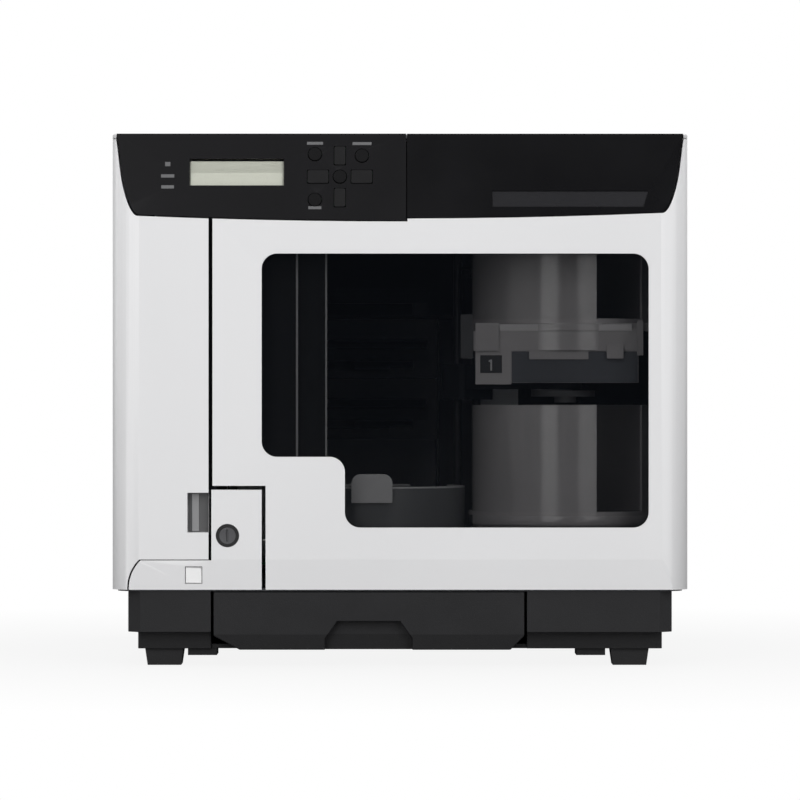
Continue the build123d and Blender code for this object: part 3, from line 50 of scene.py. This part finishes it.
# ---- Materials -------------------------------------------------------------------------
COAT_ROUGH = 0.12
SLOW_DETAIL = 4.0
FINE_DETAIL = 3.0
MOTTLE_STOPS = (0.3, 0.7)     # of the slow noise, darkest to lightest
FLECK_FROM = (0.55, 0.75)     # of the fine noise, where a fleck starts and is full
FLECK_TONE = (1.5, 0.02)      # gain and lift over the surface's own colour
WEAR_FROM = (0.52, 0.62)      # pointiness at which an edge starts to look rubbed, and is
WORN_TONE = (1.3, 0.03)       # gain and lift, as above
GRAIN_DEPTH = 0.3 * MM
SMOOTHEST = 0.02              # lowest roughness


def link(tree, a, b):
    tree.links.new(a, b)


def add(tree, kind, operation=None, **values):
    """A shader node with its inputs set by name; an underscore stands for a space."""
    made = tree.nodes.new("ShaderNode" + kind)
    if operation:
        made.operation = operation
    for name, value in values.items():
        made.inputs[name.replace("_", " ")].default_value = value
    return made


def noise(tree, vector, scale, detail):
    made = add(tree, "TexNoise", Scale=scale, Detail=detail)
    link(tree, vector, made.inputs["Vector"])
    return made.outputs["Fac"]


def ramp(tree, value, start, end, low, high):
    """Takes start..end of a value to low..high, and holds it beyond."""
    made = add(tree, "MapRange", From_Min=start, From_Max=end, To_Min=low, To_Max=high)
    link(tree, value, made.inputs["Value"])
    return made.outputs["Result"]


def mix_in(tree, share, below, colour):
    """Lays a colour over another by a share from 0 to 1."""
    made = add(tree, "MixRGB", Color2=(*colour, 1.0))
    link(tree, share, made.inputs["Fac"])
    link(tree, below, made.inputs["Color1"])
    return made.outputs["Color"]


def paler(colour, gain, lift):
    return [min(c * gain + lift, 1.0) for c in colour]


def finish_material(name, colour, rough, mottle=0.04, mottle_scale=14.0, grain=1400.0,
                    bump=0.06, rough_spread=0.06, wear=0.0, metallic=0.0, specular=0.5,
                    coat=0.0, alpha=1.0, stretch=(1.0, 1.0, 1.0), fleck=0.0):
    """A moulded or metal surface: slow colour drift, varied roughness, fine grain, worn edges."""
    mat = bpy.data.materials.new(name)
    mat.use_nodes = True
    tree = mat.node_tree
    shader = tree.nodes["Principled BSDF"]
    for socket, value in (("Metallic", metallic), ("Specular IOR Level", specular),
                          ("Coat Weight", coat), ("Coat Roughness", COAT_ROUGH),
                          ("Alpha", alpha)):
        shader.inputs[socket].default_value = value
    place = add(tree, "TexCoord")
    scale = add(tree, "Mapping", Scale=stretch)
    link(tree, place.outputs["Object"], scale.inputs["Vector"])

    slow = noise(tree, scale.outputs["Vector"], mottle_scale, SLOW_DETAIL)
    drift = add(tree, "ValToRGB")
    tones = (paler(colour, 1.0 - mottle, 0.0), paler(colour, 1.0 + mottle, 0.0))
    for stop, position, tone in zip(drift.color_ramp.elements, MOTTLE_STOPS, tones):
        stop.position = position
        stop.color = (*tone, 1.0)
    link(tree, slow, drift.inputs["Fac"])
    colour_out = drift.outputs["Color"]

    fine = noise(tree, scale.outputs["Vector"], grain, FINE_DETAIL)
    if fleck:
        share = ramp(tree, fine, *FLECK_FROM, 0.0, fleck)
        colour_out = mix_in(tree, share, colour_out, paler(colour, *FLECK_TONE))
    if wear:
        edge = add(tree, "NewGeometry")
        share = ramp(tree, edge.outputs["Pointiness"], *WEAR_FROM, 0.0, wear)
        colour_out = mix_in(tree, share, colour_out, paler(colour, *WORN_TONE))
    link(tree, colour_out, shader.inputs["Base Color"])

    gloss = ramp(tree, slow, 0.0, 1.0, max(rough - rough_spread, SMOOTHEST),
                 min(rough + rough_spread, 1.0))
    link(tree, gloss, shader.inputs["Roughness"])
    relief = add(tree, "Bump", Strength=bump, Distance=GRAIN_DEPTH)
    link(tree, fine, relief.inputs["Height"])
    link(tree, relief.outputs["Normal"], shader.inputs["Normal"])
    return mat


def object_axes(tree):
    """The X, Y and Z of a point of the machine, in metres."""
    place = add(tree, "TexCoord")
    part = add(tree, "SeparateXYZ")
    link(tree, place.outputs["Object"], part.inputs["Vector"])
    return part.outputs


def second_colour(mat, colour, *limits):
    """Gives the material another colour past any of the planes (axis, place, above it or not)."""
    tree = mat.node_tree
    shader = tree.nodes["Principled BSDF"]
    first_colour = shader.inputs["Base Color"].links[0].from_socket
    axes = object_axes(tree)
    share = None
    for axis, limit, above in limits:
        side = add(tree, "Math", "GREATER_THAN" if above else "LESS_THAN")
        side.inputs[1].default_value = limit * MM
        link(tree, axes[axis], side.inputs[0])
        past = side.outputs["Value"]
        if share is not None:
            either = add(tree, "Math", "MAXIMUM")
            link(tree, share, either.inputs[0])
            link(tree, past, either.inputs[1])
            past = either.outputs["Value"]
        share = past
    link(tree, mix_in(tree, share, first_colour, colour), shader.inputs["Base Color"])


def shift_alpha(mat, limit, left, right):
    """A clear pane left of a plane and a darker one right of it."""
    tree = mat.node_tree
    pane = ramp(tree, object_axes(tree)["X"], limit * MM, (limit + 1.0) * MM, left, right)
    link(tree, pane, tree.nodes["Principled BSDF"].inputs["Alpha"])


SURFACES = {
    "white_skin": dict(colour=(0.80, 0.80, 0.81), rough=0.42, mottle=0.012, mottle_scale=6.0,
                       grain=1700.0, bump=0.05, wear=0.15, specular=0.4),
    "black_base": dict(colour=(0.014, 0.014, 0.0155), rough=0.55, mottle=0.12,
                       mottle_scale=30.0, grain=1500.0, bump=0.3, wear=0.35, fleck=0.12,
                       specular=0.22),
    "black_panel": dict(colour=(0.0062, 0.0060, 0.0072), rough=0.4, mottle=0.1,
                        mottle_scale=20.0, grain=2200.0, bump=0.03, wear=0.25, specular=0.09),
    "dark_inner": dict(colour=(0.010, 0.0115, 0.016), rough=0.6, mottle=0.15,
                       mottle_scale=25.0, grain=1200.0, bump=0.2, wear=0.3, specular=0.2),
    "grey_cup": dict(colour=(0.40, 0.385, 0.395), rough=0.16, mottle=0.05, mottle_scale=18.0,
                     grain=1500.0, bump=0.02, wear=0.3, specular=0.85, rough_spread=0.02),
    "zinc_sheet": dict(colour=(0.50, 0.505, 0.52), rough=0.42, mottle=0.05, mottle_scale=70.0,
                       grain=900.0, bump=0.08, metallic=0.85, wear=0.2, rough_spread=0.06),
    "steel_rod": dict(colour=(0.62, 0.62, 0.64), rough=0.22, mottle=0.05, grain=1800.0,
                      bump=0.04, metallic=1.0, stretch=(1.0, 1.0, 0.05)),
    "circuit_green": dict(colour=(0.02, 0.16, 0.06), rough=0.4, mottle=0.25,
                          mottle_scale=160.0, grain=700.0, bump=0.25, fleck=0.4),
    "belt_rubber": dict(colour=(0.02, 0.02, 0.02), rough=0.75, mottle=0.2, grain=900.0,
                        bump=0.4),
    "foot_rubber": dict(colour=(0.013, 0.013, 0.014), rough=0.8, mottle=0.2, grain=1100.0,
                        bump=0.4, wear=0.4, specular=0.15),
    "key_black": dict(colour=(0.0046, 0.0045, 0.0052), rough=0.45, mottle=0.15, grain=2000.0,
                      bump=0.05, wear=0.3, specular=0.09),
    "button_white": dict(colour=(0.93, 0.93, 0.93), rough=0.22, mottle=0.01, grain=2200.0,
                         bump=0.02, coat=0.3),
    "lock_steel": dict(colour=(0.085, 0.085, 0.09), rough=0.36, mottle=0.15,
                       mottle_scale=120.0, grain=2000.0, bump=0.08, metallic=0.7, wear=0.5),
    "ink_case": dict(colour=(0.04, 0.04, 0.045), rough=0.45, mottle=0.1, grain=1500.0,
                     bump=0.12, wear=0.3),
    "lcd_grey": dict(colour=(0.66, 0.675, 0.585), rough=0.6, mottle=0.012, mottle_scale=9.0,
                     grain=2500.0, bump=0.01, specular=0.1),
    "lamp_clear": dict(colour=(0.33, 0.34, 0.35), rough=0.25, mottle=0.05, grain=1500.0,
                       bump=0.03, coat=0.4),
    "smoked_clear": dict(colour=(0.003, 0.004, 0.006), rough=0.06, mottle=0.1,
                         mottle_scale=8.0, grain=400.0, bump=0.004, rough_spread=0.02,
                         alpha=0.34, specular=0.3),
    "black_sheet": dict(colour=(0.024, 0.025, 0.030), rough=0.5, mottle=0.12,
                        mottle_scale=50.0, grain=1300.0, bump=0.15, wear=0.3, specular=0.35),
    "drive_case": dict(colour=(0.030, 0.030, 0.037), rough=0.5, mottle=0.12, grain=1300.0,
                       bump=0.15, specular=0.3),
    "black_panel_gloss": dict(colour=(0.0050, 0.0050, 0.0060), rough=0.16, mottle=0.1,
                              mottle_scale=20.0, grain=2200.0, bump=0.015, wear=0.2,
                              specular=0.2),
    "strip_window": dict(colour=(0.024, 0.024, 0.027), rough=0.35, mottle=0.08, grain=1500.0,
                         bump=0.01, specular=0.1),
    "dark_rod": dict(colour=(0.03, 0.03, 0.034), rough=0.4, mottle=0.1, grain=1500.0,
                     bump=0.05, metallic=0.4, specular=0.2),
    "dark_wall": dict(colour=(0.014, 0.0145, 0.016), rough=0.7, mottle=0.15, grain=1200.0,
                      bump=0.2, specular=0.1),
    "low_cup": dict(colour=(0.125, 0.128, 0.135), rough=0.3, mottle=0.08, grain=1500.0,
                    bump=0.05, specular=0.35),
    "dark_arm": dict(colour=(0.24, 0.24, 0.25), rough=0.4, mottle=0.1, grain=1300.0, bump=0.1,
                     specular=0.3),
    "pale_print": dict(colour=(0.15, 0.15, 0.155), rough=0.6, mottle=0.08, grain=2500.0,
                       bump=0.02, specular=0.2),
    "number_print": dict(colour=(0.42, 0.42, 0.43), rough=0.5, mottle=0.08, grain=2500.0,
                         bump=0.02),
    # The shelf's lip, paler than the shelf: a painted highlight along its lit ledge.
    "shelf_lip_highlight": dict(colour=(0.58, 0.57, 0.58), rough=0.25, mottle=0.05, grain=1500.0,
                      bump=0.04, specular=0.6),
    # Painted shade under the shelf's front.
    "shelf_under_shade": dict(colour=(0.095, 0.10, 0.115), rough=0.45, mottle=0.1, grain=1500.0,
                        bump=0.08, specular=0.25),
    # Painted highlights on the bay's edges.
    "bay_edge_highlight": dict(colour=(0.34, 0.34, 0.35), rough=0.4, mottle=0.08, grain=1500.0,
                     bump=0.05),
    # The finger recess's grey liner, darkened further by painted shade inside the recess.
    "pull_liner_shaded": dict(colour=(0.085, 0.085, 0.088), rough=0.5, mottle=0.08, grain=1600.0,
                       bump=0.08),
    # A painted highlight across the finger recess's curved floor.
    "pull_highlight_stripe": dict(colour=(0.25, 0.25, 0.255), rough=0.45, mottle=0.08, grain=1600.0,
                        bump=0.08),
    # A painted shadow along the top of the display, in its recess.
    "lcd_painted_shadow": dict(colour=(0.003, 0.003, 0.0035), rough=0.7, mottle=0.1, grain=1500.0,
                      bump=0.02, specular=0.05),
    "lock_ring": dict(colour=(0.012, 0.012, 0.013), rough=0.4, mottle=0.1, grain=1800.0,
                      bump=0.05, specular=0.3),
    "floor_paper": dict(colour=(0.33, 0.33, 0.33), rough=0.7, mottle=0.01, grain=300.0,
                        bump=0.02, specular=0.1),
}
SURFACES["shelf_grey"] = SURFACES["grey_cup"]
MATERIALS = {name: finish_material(name, **look) for name, look in SURFACES.items()}
# The drives' grey cases behind their black fronts, the low stacker's grip and rim, painted shade
# on the lower part of the base and drawer, and the post at the shelf's left end.
second_colour(MATERIALS["drive_case"], (0.30, 0.31, 0.33), ("Y", 60.0, True))
second_colour(MATERIALS["low_cup"], (0.52, 0.52, 0.53), ("Y", -203.5, False),
              ("Z", 115.3, True))
# Painted shade: the base and drawer are darker below 20.5 mm, where they sit in shade under the
# white body.
second_colour(MATERIALS["black_base"], (0.0080, 0.0080, 0.0090), ("Z", 20.5, False))
second_colour(MATERIALS["shelf_grey"], (0.075, 0.076, 0.08), ("X", 48.4, False))
# The display's clear pane is left of the middle, the smoked status window right of it.
shift_alpha(MATERIALS["strip_window"], 0.0, 0.04, 0.9)

# Nodes whose look differs from the one of their slot.
OTHER_LOOK = {"disc_drive_1": "drive_case", "disc_drive_2": "drive_case",
              "deck_plate": "black_sheet", "printer_frame": "black_sheet",
              "drive_cage": "black_sheet", "status_fascia": "black_panel_gloss",
              "panel_windows": "strip_window", "mast_frame": "dark_rod",
              "bay_walls": "dark_wall", "stacker_3": "low_cup",
              "stacker_supports": "shelf_grey", "arm_gripper": "dark_arm"}
slot_of = {s["node"]: s["material_slot"] for s in frame["record"]["subparts"]}
for name, obj in nodes.items():
    obj.data.materials.clear()
    obj.data.materials.append(MATERIALS[OTHER_LOOK.get(name, slot_of[name])])

# ---- Edges of the carried-over parts ---------------------------------------------------
WELD_WITHIN = 1e-6            # metres
SHARPER_THAN = math.radians(35)
EDGE = {"door_panel": 0.5, "ink_cover": 0.5, "corner_panel": 0.45, "top_cover": 0.4,
        "left_side_panel": 0.4, "right_side_panel": 0.4, "base_frame": 0.6, "drawer": 0.6,
        "control_fascia": 0.25, "status_fascia": 0.25, "stacker_supports": 0.4,
        "power_button": 0.2}
for name, size in EDGE.items():
    weld = nodes[name].modifiers.new("weld", "WELD")
    weld.merge_threshold = WELD_WITHIN
    soft = nodes[name].modifiers.new("edges", "BEVEL")
    soft.width = size * MM
    soft.segments = 2
    soft.limit_method = "ANGLE"
    soft.angle_limit = SHARPER_THAN
    soft.harden_normals = True


# ---- Pieces made here ------------------------------------------------------------------
def mesh_piece(name, build, look, body):
    mesh = bpy.data.meshes.new(name)
    shape = bmesh.new()
    build(shape)
    shape.to_mesh(mesh)
    shape.free()
    piece = bpy.data.objects.new(name, mesh)
    bpy.context.scene.collection.objects.link(piece)
    mesh.materials.append(MATERIALS[look])
    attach(piece, body)


def slab(shape, x0, x1, y0, y1, z0, z1, on_band=False, soft=0.0):
    """A box with softened edges, or one that leans back with the control band."""
    made = bmesh.ops.create_cube(shape, size=1.0)
    for v in made["verts"]:
        x = (x0 + x1) / 2 + v.co.x * (x1 - x0)
        y = (y0 + y1) / 2 + v.co.y * (y1 - y0)
        z = (z0 + z1) / 2 + v.co.z * (z1 - z0)
        lean = BAND_LEAN * (z - BAND_Z0) if on_band else 0.0
        v.co = (x * MM, (y + lean) * MM, z * MM)
    if soft:
        edges = {e for v in made["verts"] for e in v.link_edges}
        bmesh.ops.bevel(shape, geom=list(edges), offset=soft * MM, segments=2,
                        affect="EDGES", profile=0.6)


def box_piece(name, boxes, look, body, on_band=False, soft=0.0):
    """Thin boxes, each x0, x1, y0, y1, z0, z1, as one piece."""
    def build(shape):
        for box in boxes:
            slab(shape, *box, on_band=on_band, soft=soft)
    mesh_piece(name, build, look, body)


def band_bars(marks, thick):
    """Small raised bars on the control band, from x, z, width and height."""
    return [(x - w / 2, x + w / 2, BAND_Y0 - thick, BAND_Y0 + thick, z - h / 2, z + h / 2)
            for x, z, w, h in marks]


KEY_MARKS = ((-55.6, 341.6, 10.5, 1.9), (-24.9, 341.4, 12.4, 1.9), (-55.6, 299.2, 8.5, 1.9))
STATUS_MARKS = ((-151.8, 327.9, 3.4, 2.8), (-151.8, 320.1, 8.6, 2.1),
                (-151.8, 312.9, 8.2, 2.1))
box_piece("key_marks", band_bars(KEY_MARKS, 0.15), "pale_print", "cabinet",
          on_band=True)
box_piece("status_marks", band_bars(STATUS_MARKS, 0.2), "pale_print", "cabinet",
          on_band=True)
# The digit is an upright and the flag at its top.
box_piece("number_field", [(52.8, 67.1, -204.3, -203.9, 191.5, 203.2)], "black_sheet",
          "cabinet")
box_piece("number_one", [(59.4, 60.6, -204.6, -204.2, 193.0, 200.4),
                         (58.4, 59.5, -204.6, -204.2, 198.8, 200.0)], "number_print",
          "cabinet")

TRIM_SOFT = 0.15
# The shelf's lip, with a painted highlight in its paler colour along the lit ledge.
box_piece("shelf_lip_highlight", [(65.4, 152.6, -204.7, -203.8, 219.2, 223.5)], "shelf_lip_highlight", "cabinet",
          soft=TRIM_SOFT)

SHELF_X = 110.8         # axis of the upper stacker
BULGE_R = 62.0
BULGE_HALF = 20.0       # half its width
BULGE_DEPTH = 0.3       # how far it reaches behind the face it sits on
BULGE_STEPS = 24


def bulge(shape, y_face, y_ends, z0, z1):
    """A shallow curved front on a face, which follows the stacker behind it."""
    drop = math.sqrt(BULGE_R**2 - BULGE_HALF**2)
    rims = []
    for z in (z0, z1):
        line = []
        for i in range(BULGE_STEPS + 1):
            dx = BULGE_HALF * (2 * i / BULGE_STEPS - 1)
            line.append((dx, y_ends - math.sqrt(BULGE_R**2 - dx**2) + drop))
        line += [(dx, y_face + BULGE_DEPTH) for dx in (BULGE_HALF, -BULGE_HALF)]
        rims.append([shape.verts.new(((SHELF_X + dx) * MM, y * MM, z * MM))
                     for dx, y in line])
    low, high = rims
    count = len(low)
    for i in range(count):
        j = (i + 1) % count
        face = shape.faces.new((low[i], low[j], high[j], high[i]))
        face.smooth = i < BULGE_STEPS
    for rim in rims:
        cap = shape.faces.new(rim)
        for edge in cap.edges:
            edge.smooth = False
    bmesh.ops.recalc_face_normals(shape, faces=shape.faces)


def shelf_bulge(shape):
    """On the shelf's front, and on the lip above it."""
    bulge(shape, -204.0, -204.0, 206.4, 219.1)
    bulge(shape, -204.6, -204.7, 219.3, 223.4)


mesh_piece("shelf_bulge", shelf_bulge, "grey_cup", "cabinet")
# A dark strip below the shelf's front: painted shade under the shelf.
box_piece("shelf_under_shade", [(73.6, 156.6, -203.4, -202.8, 185.2, 205.6)], "shelf_under_shade",
          "cabinet", soft=TRIM_SOFT)
# Pale strips on the bay's two edges: painted highlights where the edges catch the light.
box_piece("bay_edge_highlights", [(-68.3, -66.9, -213.9, -213.4, 130.2, 285.8),
                        (-49.1, -47.9, -209.9, -209.4, 130.2, 285.8)], "bay_edge_highlight", "cabinet",
          soft=TRIM_SOFT)
# The ink cover's finger recess: a grey liner darkened by painted shade, and a pale stripe across
# it that is a painted highlight of its curved floor.
box_piece("pull_liner_shaded", [(-138.6, -125.3, -224.0, -223.6, 87.4, 113.0)], "pull_liner_shaded",
          "ink_door", soft=TRIM_SOFT)
box_piece("pull_highlight_stripe", [(-136.0, -131.4, -225.0, -223.9, 88.0, 112.4)], "pull_highlight_stripe",
          "ink_door", soft=TRIM_SOFT)
# A painted shadow: a dark strip along the top of the display, where its recess casts shade.
box_piece("lcd_painted_shadow", [(-137.3, -76.0, BAND_Y0 + 2.0, BAND_Y0 + 2.3, 329.9, 331.3)],
          "lcd_painted_shadow", "cabinet", on_band=True)

LOCK_XZ = (-112.6, 85.2)
LOCK_RIM = ((7.3, -232.2), (7.3, -232.45), (5.6, -232.45), (5.2, -232.2))    # radius, y
LOCK_STEPS = 64


def lock_ring(shape):
    """The dark rim round the face of the lock."""
    rings = []
    for radius, y in LOCK_RIM:
        turns = (2 * math.pi * i / LOCK_STEPS for i in range(LOCK_STEPS))
        rings.append([shape.verts.new(((LOCK_XZ[0] + radius * math.cos(a)) * MM, y * MM,
                                       (LOCK_XZ[1] + radius * math.sin(a)) * MM))
                      for a in turns])
    for a, b in zip(rings, rings[1:] + rings[:1]):
        for i in range(LOCK_STEPS):
            j = (i + 1) % LOCK_STEPS
            shape.faces.new((a[i], a[j], b[j], b[i]))
    bmesh.ops.recalc_face_normals(shape, faces=shape.faces)


mesh_piece("lock_ring", lock_ring, "lock_ring", "lock")

GUARD_X, GUARD_Y, GUARD_Z = 135.0, 230.2, 286.0
GUARD_RINGS = (8.0, 14.0, 20.0, 26.0)
WIRE_R = 0.7
RING_STEPS = 48
WIRE_STEPS = 8
BAR_HALF = (30.0, 0.6)        # half its length and half its width
BAR_Y = (GUARD_Y - 0.9, GUARD_Y - 0.2)
BAR_SOFT = 0.2


def fan_guard(shape):
    """Wire rings and a cross of bars over the fan's hole in the rear sheet."""
    for radius in GUARD_RINGS:
        ring = []
        for step in range(RING_STEPS):
            turn = 2 * math.pi * step / RING_STEPS
            ring.append([])
            for side in range(WIRE_STEPS):
                roll = 2 * math.pi * side / WIRE_STEPS
                r = radius + WIRE_R * math.cos(roll)
                ring[-1].append(shape.verts.new(((GUARD_X + r * math.cos(turn)) * MM,
                                                 (GUARD_Y + WIRE_R * math.sin(roll)) * MM,
                                                 (GUARD_Z + r * math.sin(turn)) * MM)))
        for step in range(RING_STEPS):
            a, b = ring[step], ring[(step + 1) % RING_STEPS]
            for side in range(WIRE_STEPS):
                after = (side + 1) % WIRE_STEPS
                shape.faces.new((a[side], a[after], b[after], b[side]))
    for half_x, half_z in (BAR_HALF, BAR_HALF[::-1]):
        slab(shape, GUARD_X - half_x, GUARD_X + half_x, *BAR_Y, GUARD_Z - half_z,
             GUARD_Z + half_z, soft=BAR_SOFT)
    bmesh.ops.recalc_face_normals(shape, faces=shape.faces)


mesh_piece("fan_guard", fan_guard, "steel_rod", "cabinet")

# ---- Studio (from here on in metres) ---------------------------------------------------
FLOOR_HALF = 20.0
FLOOR_FADE = (0.25, 0.75)     # distance over which the seen floor turns to plain white
FLOOR_WHITE = (0.89, 1.0)     # how much of it is plain white at those distances
FILL = 0.45                   # light from all round
MIRRORED = 0.9                # what glossy surfaces reflect
DIM_FROM = (0.55, 0.98)       # how squarely a reflected ray goes out in front of the machine
DIM_TO = (1.0, 0.08)          # how bright the surroundings are there

floor_mesh = bpy.data.meshes.new("floor")
floor_shape = bmesh.new()
bmesh.ops.create_grid(floor_shape, x_segments=2, y_segments=2, size=FLOOR_HALF)
floor_shape.to_mesh(floor_mesh)
floor_shape.free()
floor = bpy.data.objects.new("floor", floor_mesh)
bpy.context.scene.collection.objects.link(floor)
floor_mesh.materials.append(MATERIALS["floor_paper"])

paper = MATERIALS["floor_paper"].node_tree
bright = add(paper, "Emission", Color=WHITE)
place = add(paper, "TexCoord")
away = add(paper, "VectorMath", "LENGTH")
link(paper, place.outputs["Object"], away.inputs[0])
path = add(paper, "LightPath")
share = add(paper, "Math", "MULTIPLY")
link(paper, path.outputs["Is Camera Ray"], share.inputs[0])
link(paper, ramp(paper, away.outputs["Value"], *FLOOR_FADE, *FLOOR_WHITE), share.inputs[1])
blend = add(paper, "MixShader")
link(paper, share.outputs["Value"], blend.inputs["Fac"])
link(paper, paper.nodes["Principled BSDF"].outputs["BSDF"], blend.inputs[1])
link(paper, bright.outputs["Emission"], blend.inputs[2])
link(paper, blend.outputs["Shader"], paper.nodes["Material Output"].inputs["Surface"])

world = bpy.data.worlds.new("studio")
bpy.context.scene.world = world
world.use_nodes = True
tree = world.node_tree
tree.nodes.clear()
seen = add(tree, "Background", Color=WHITE, Strength=1.0).outputs["Background"]
fill = add(tree, "Background", Color=WHITE, Strength=FILL).outputs["Background"]
mirrored = add(tree, "Background", Strength=MIRRORED)
where = add(tree, "TexCoord")
axis = add(tree, "SeparateXYZ")
link(tree, where.outputs["Generated"], axis.inputs["Vector"])
facing = add(tree, "Math", "MULTIPLY")
facing.inputs[1].default_value = -1.0
link(tree, axis.outputs["Y"], facing.inputs[0])
link(tree, ramp(tree, facing.outputs["Value"], *DIM_FROM, *DIM_TO), mirrored.inputs["Color"])
rays = add(tree, "LightPath")
shown = fill
for ray, instead in (("Is Glossy Ray", mirrored.outputs["Background"]),
                     ("Is Transmission Ray", seen), ("Is Camera Ray", seen)):
    pick = add(tree, "MixShader")
    link(tree, rays.outputs[ray], pick.inputs["Fac"])
    link(tree, shown, pick.inputs[1])
    link(tree, instead, pick.inputs[2])
    shown = pick.outputs["Shader"]
link(tree, shown, add(tree, "OutputWorld").inputs["Surface"])

# Name, place, what it points at, width and height, watts.
LAMPS = (("key", (-0.65, -2.1, 0.8), (0, 0, 0.17), (0.8, 1.8), 16.5),
         ("side", (0.95, -2.0, 0.8), (0, 0, 0.17), (0.8, 1.8), 13.0),
         ("top", (0, 0.2, 1.9), (0, 0, 0.2), (1.6, 1.6), 11.0),
         ("back", (0.4, 2.2, 1.2), (0, 0, 0.2), (1.8, 1.4), 12.0))
for name, place, target, size, watts in LAMPS:
    light = bpy.data.lights.new(name, "AREA")
    light.shape = "RECTANGLE"
    light.size, light.size_y = size
    light.energy = watts
    lamp = bpy.data.objects.new(name, light)
    bpy.context.scene.collection.objects.link(lamp)
    lamp.location = place
    aim = Vector(target) - Vector(place)
    lamp.rotation_euler = aim.to_track_quat("-Z", "Y").to_euler()

# ---- Camera ----------------------------------------------------------------------------
CAMERA_AWAY = 3.3             # from the cabinet's front
CAMERA_Z = 0.1737
VIEW_WIDTH = 0.522            # what the picture takes in at the cabinet's front
SEES_TO = 60.0
SENSOR = 36.0                 # millimetres
cam = bpy.data.cameras.new("camera")
cam.sensor_width = SENSOR
cam.lens = SENSOR * CAMERA_AWAY / VIEW_WIDTH
cam.clip_end = SEES_TO
camera = bpy.data.objects.new("camera", cam)
bpy.context.scene.collection.objects.link(camera)
camera.location = (0.0, FRONT_Y * MM - CAMERA_AWAY, CAMERA_Z)
camera.rotation_euler = (math.radians(90), 0, 0)
bpy.context.scene.camera = camera
bpy.context.scene.view_settings.view_transform = "Standard"
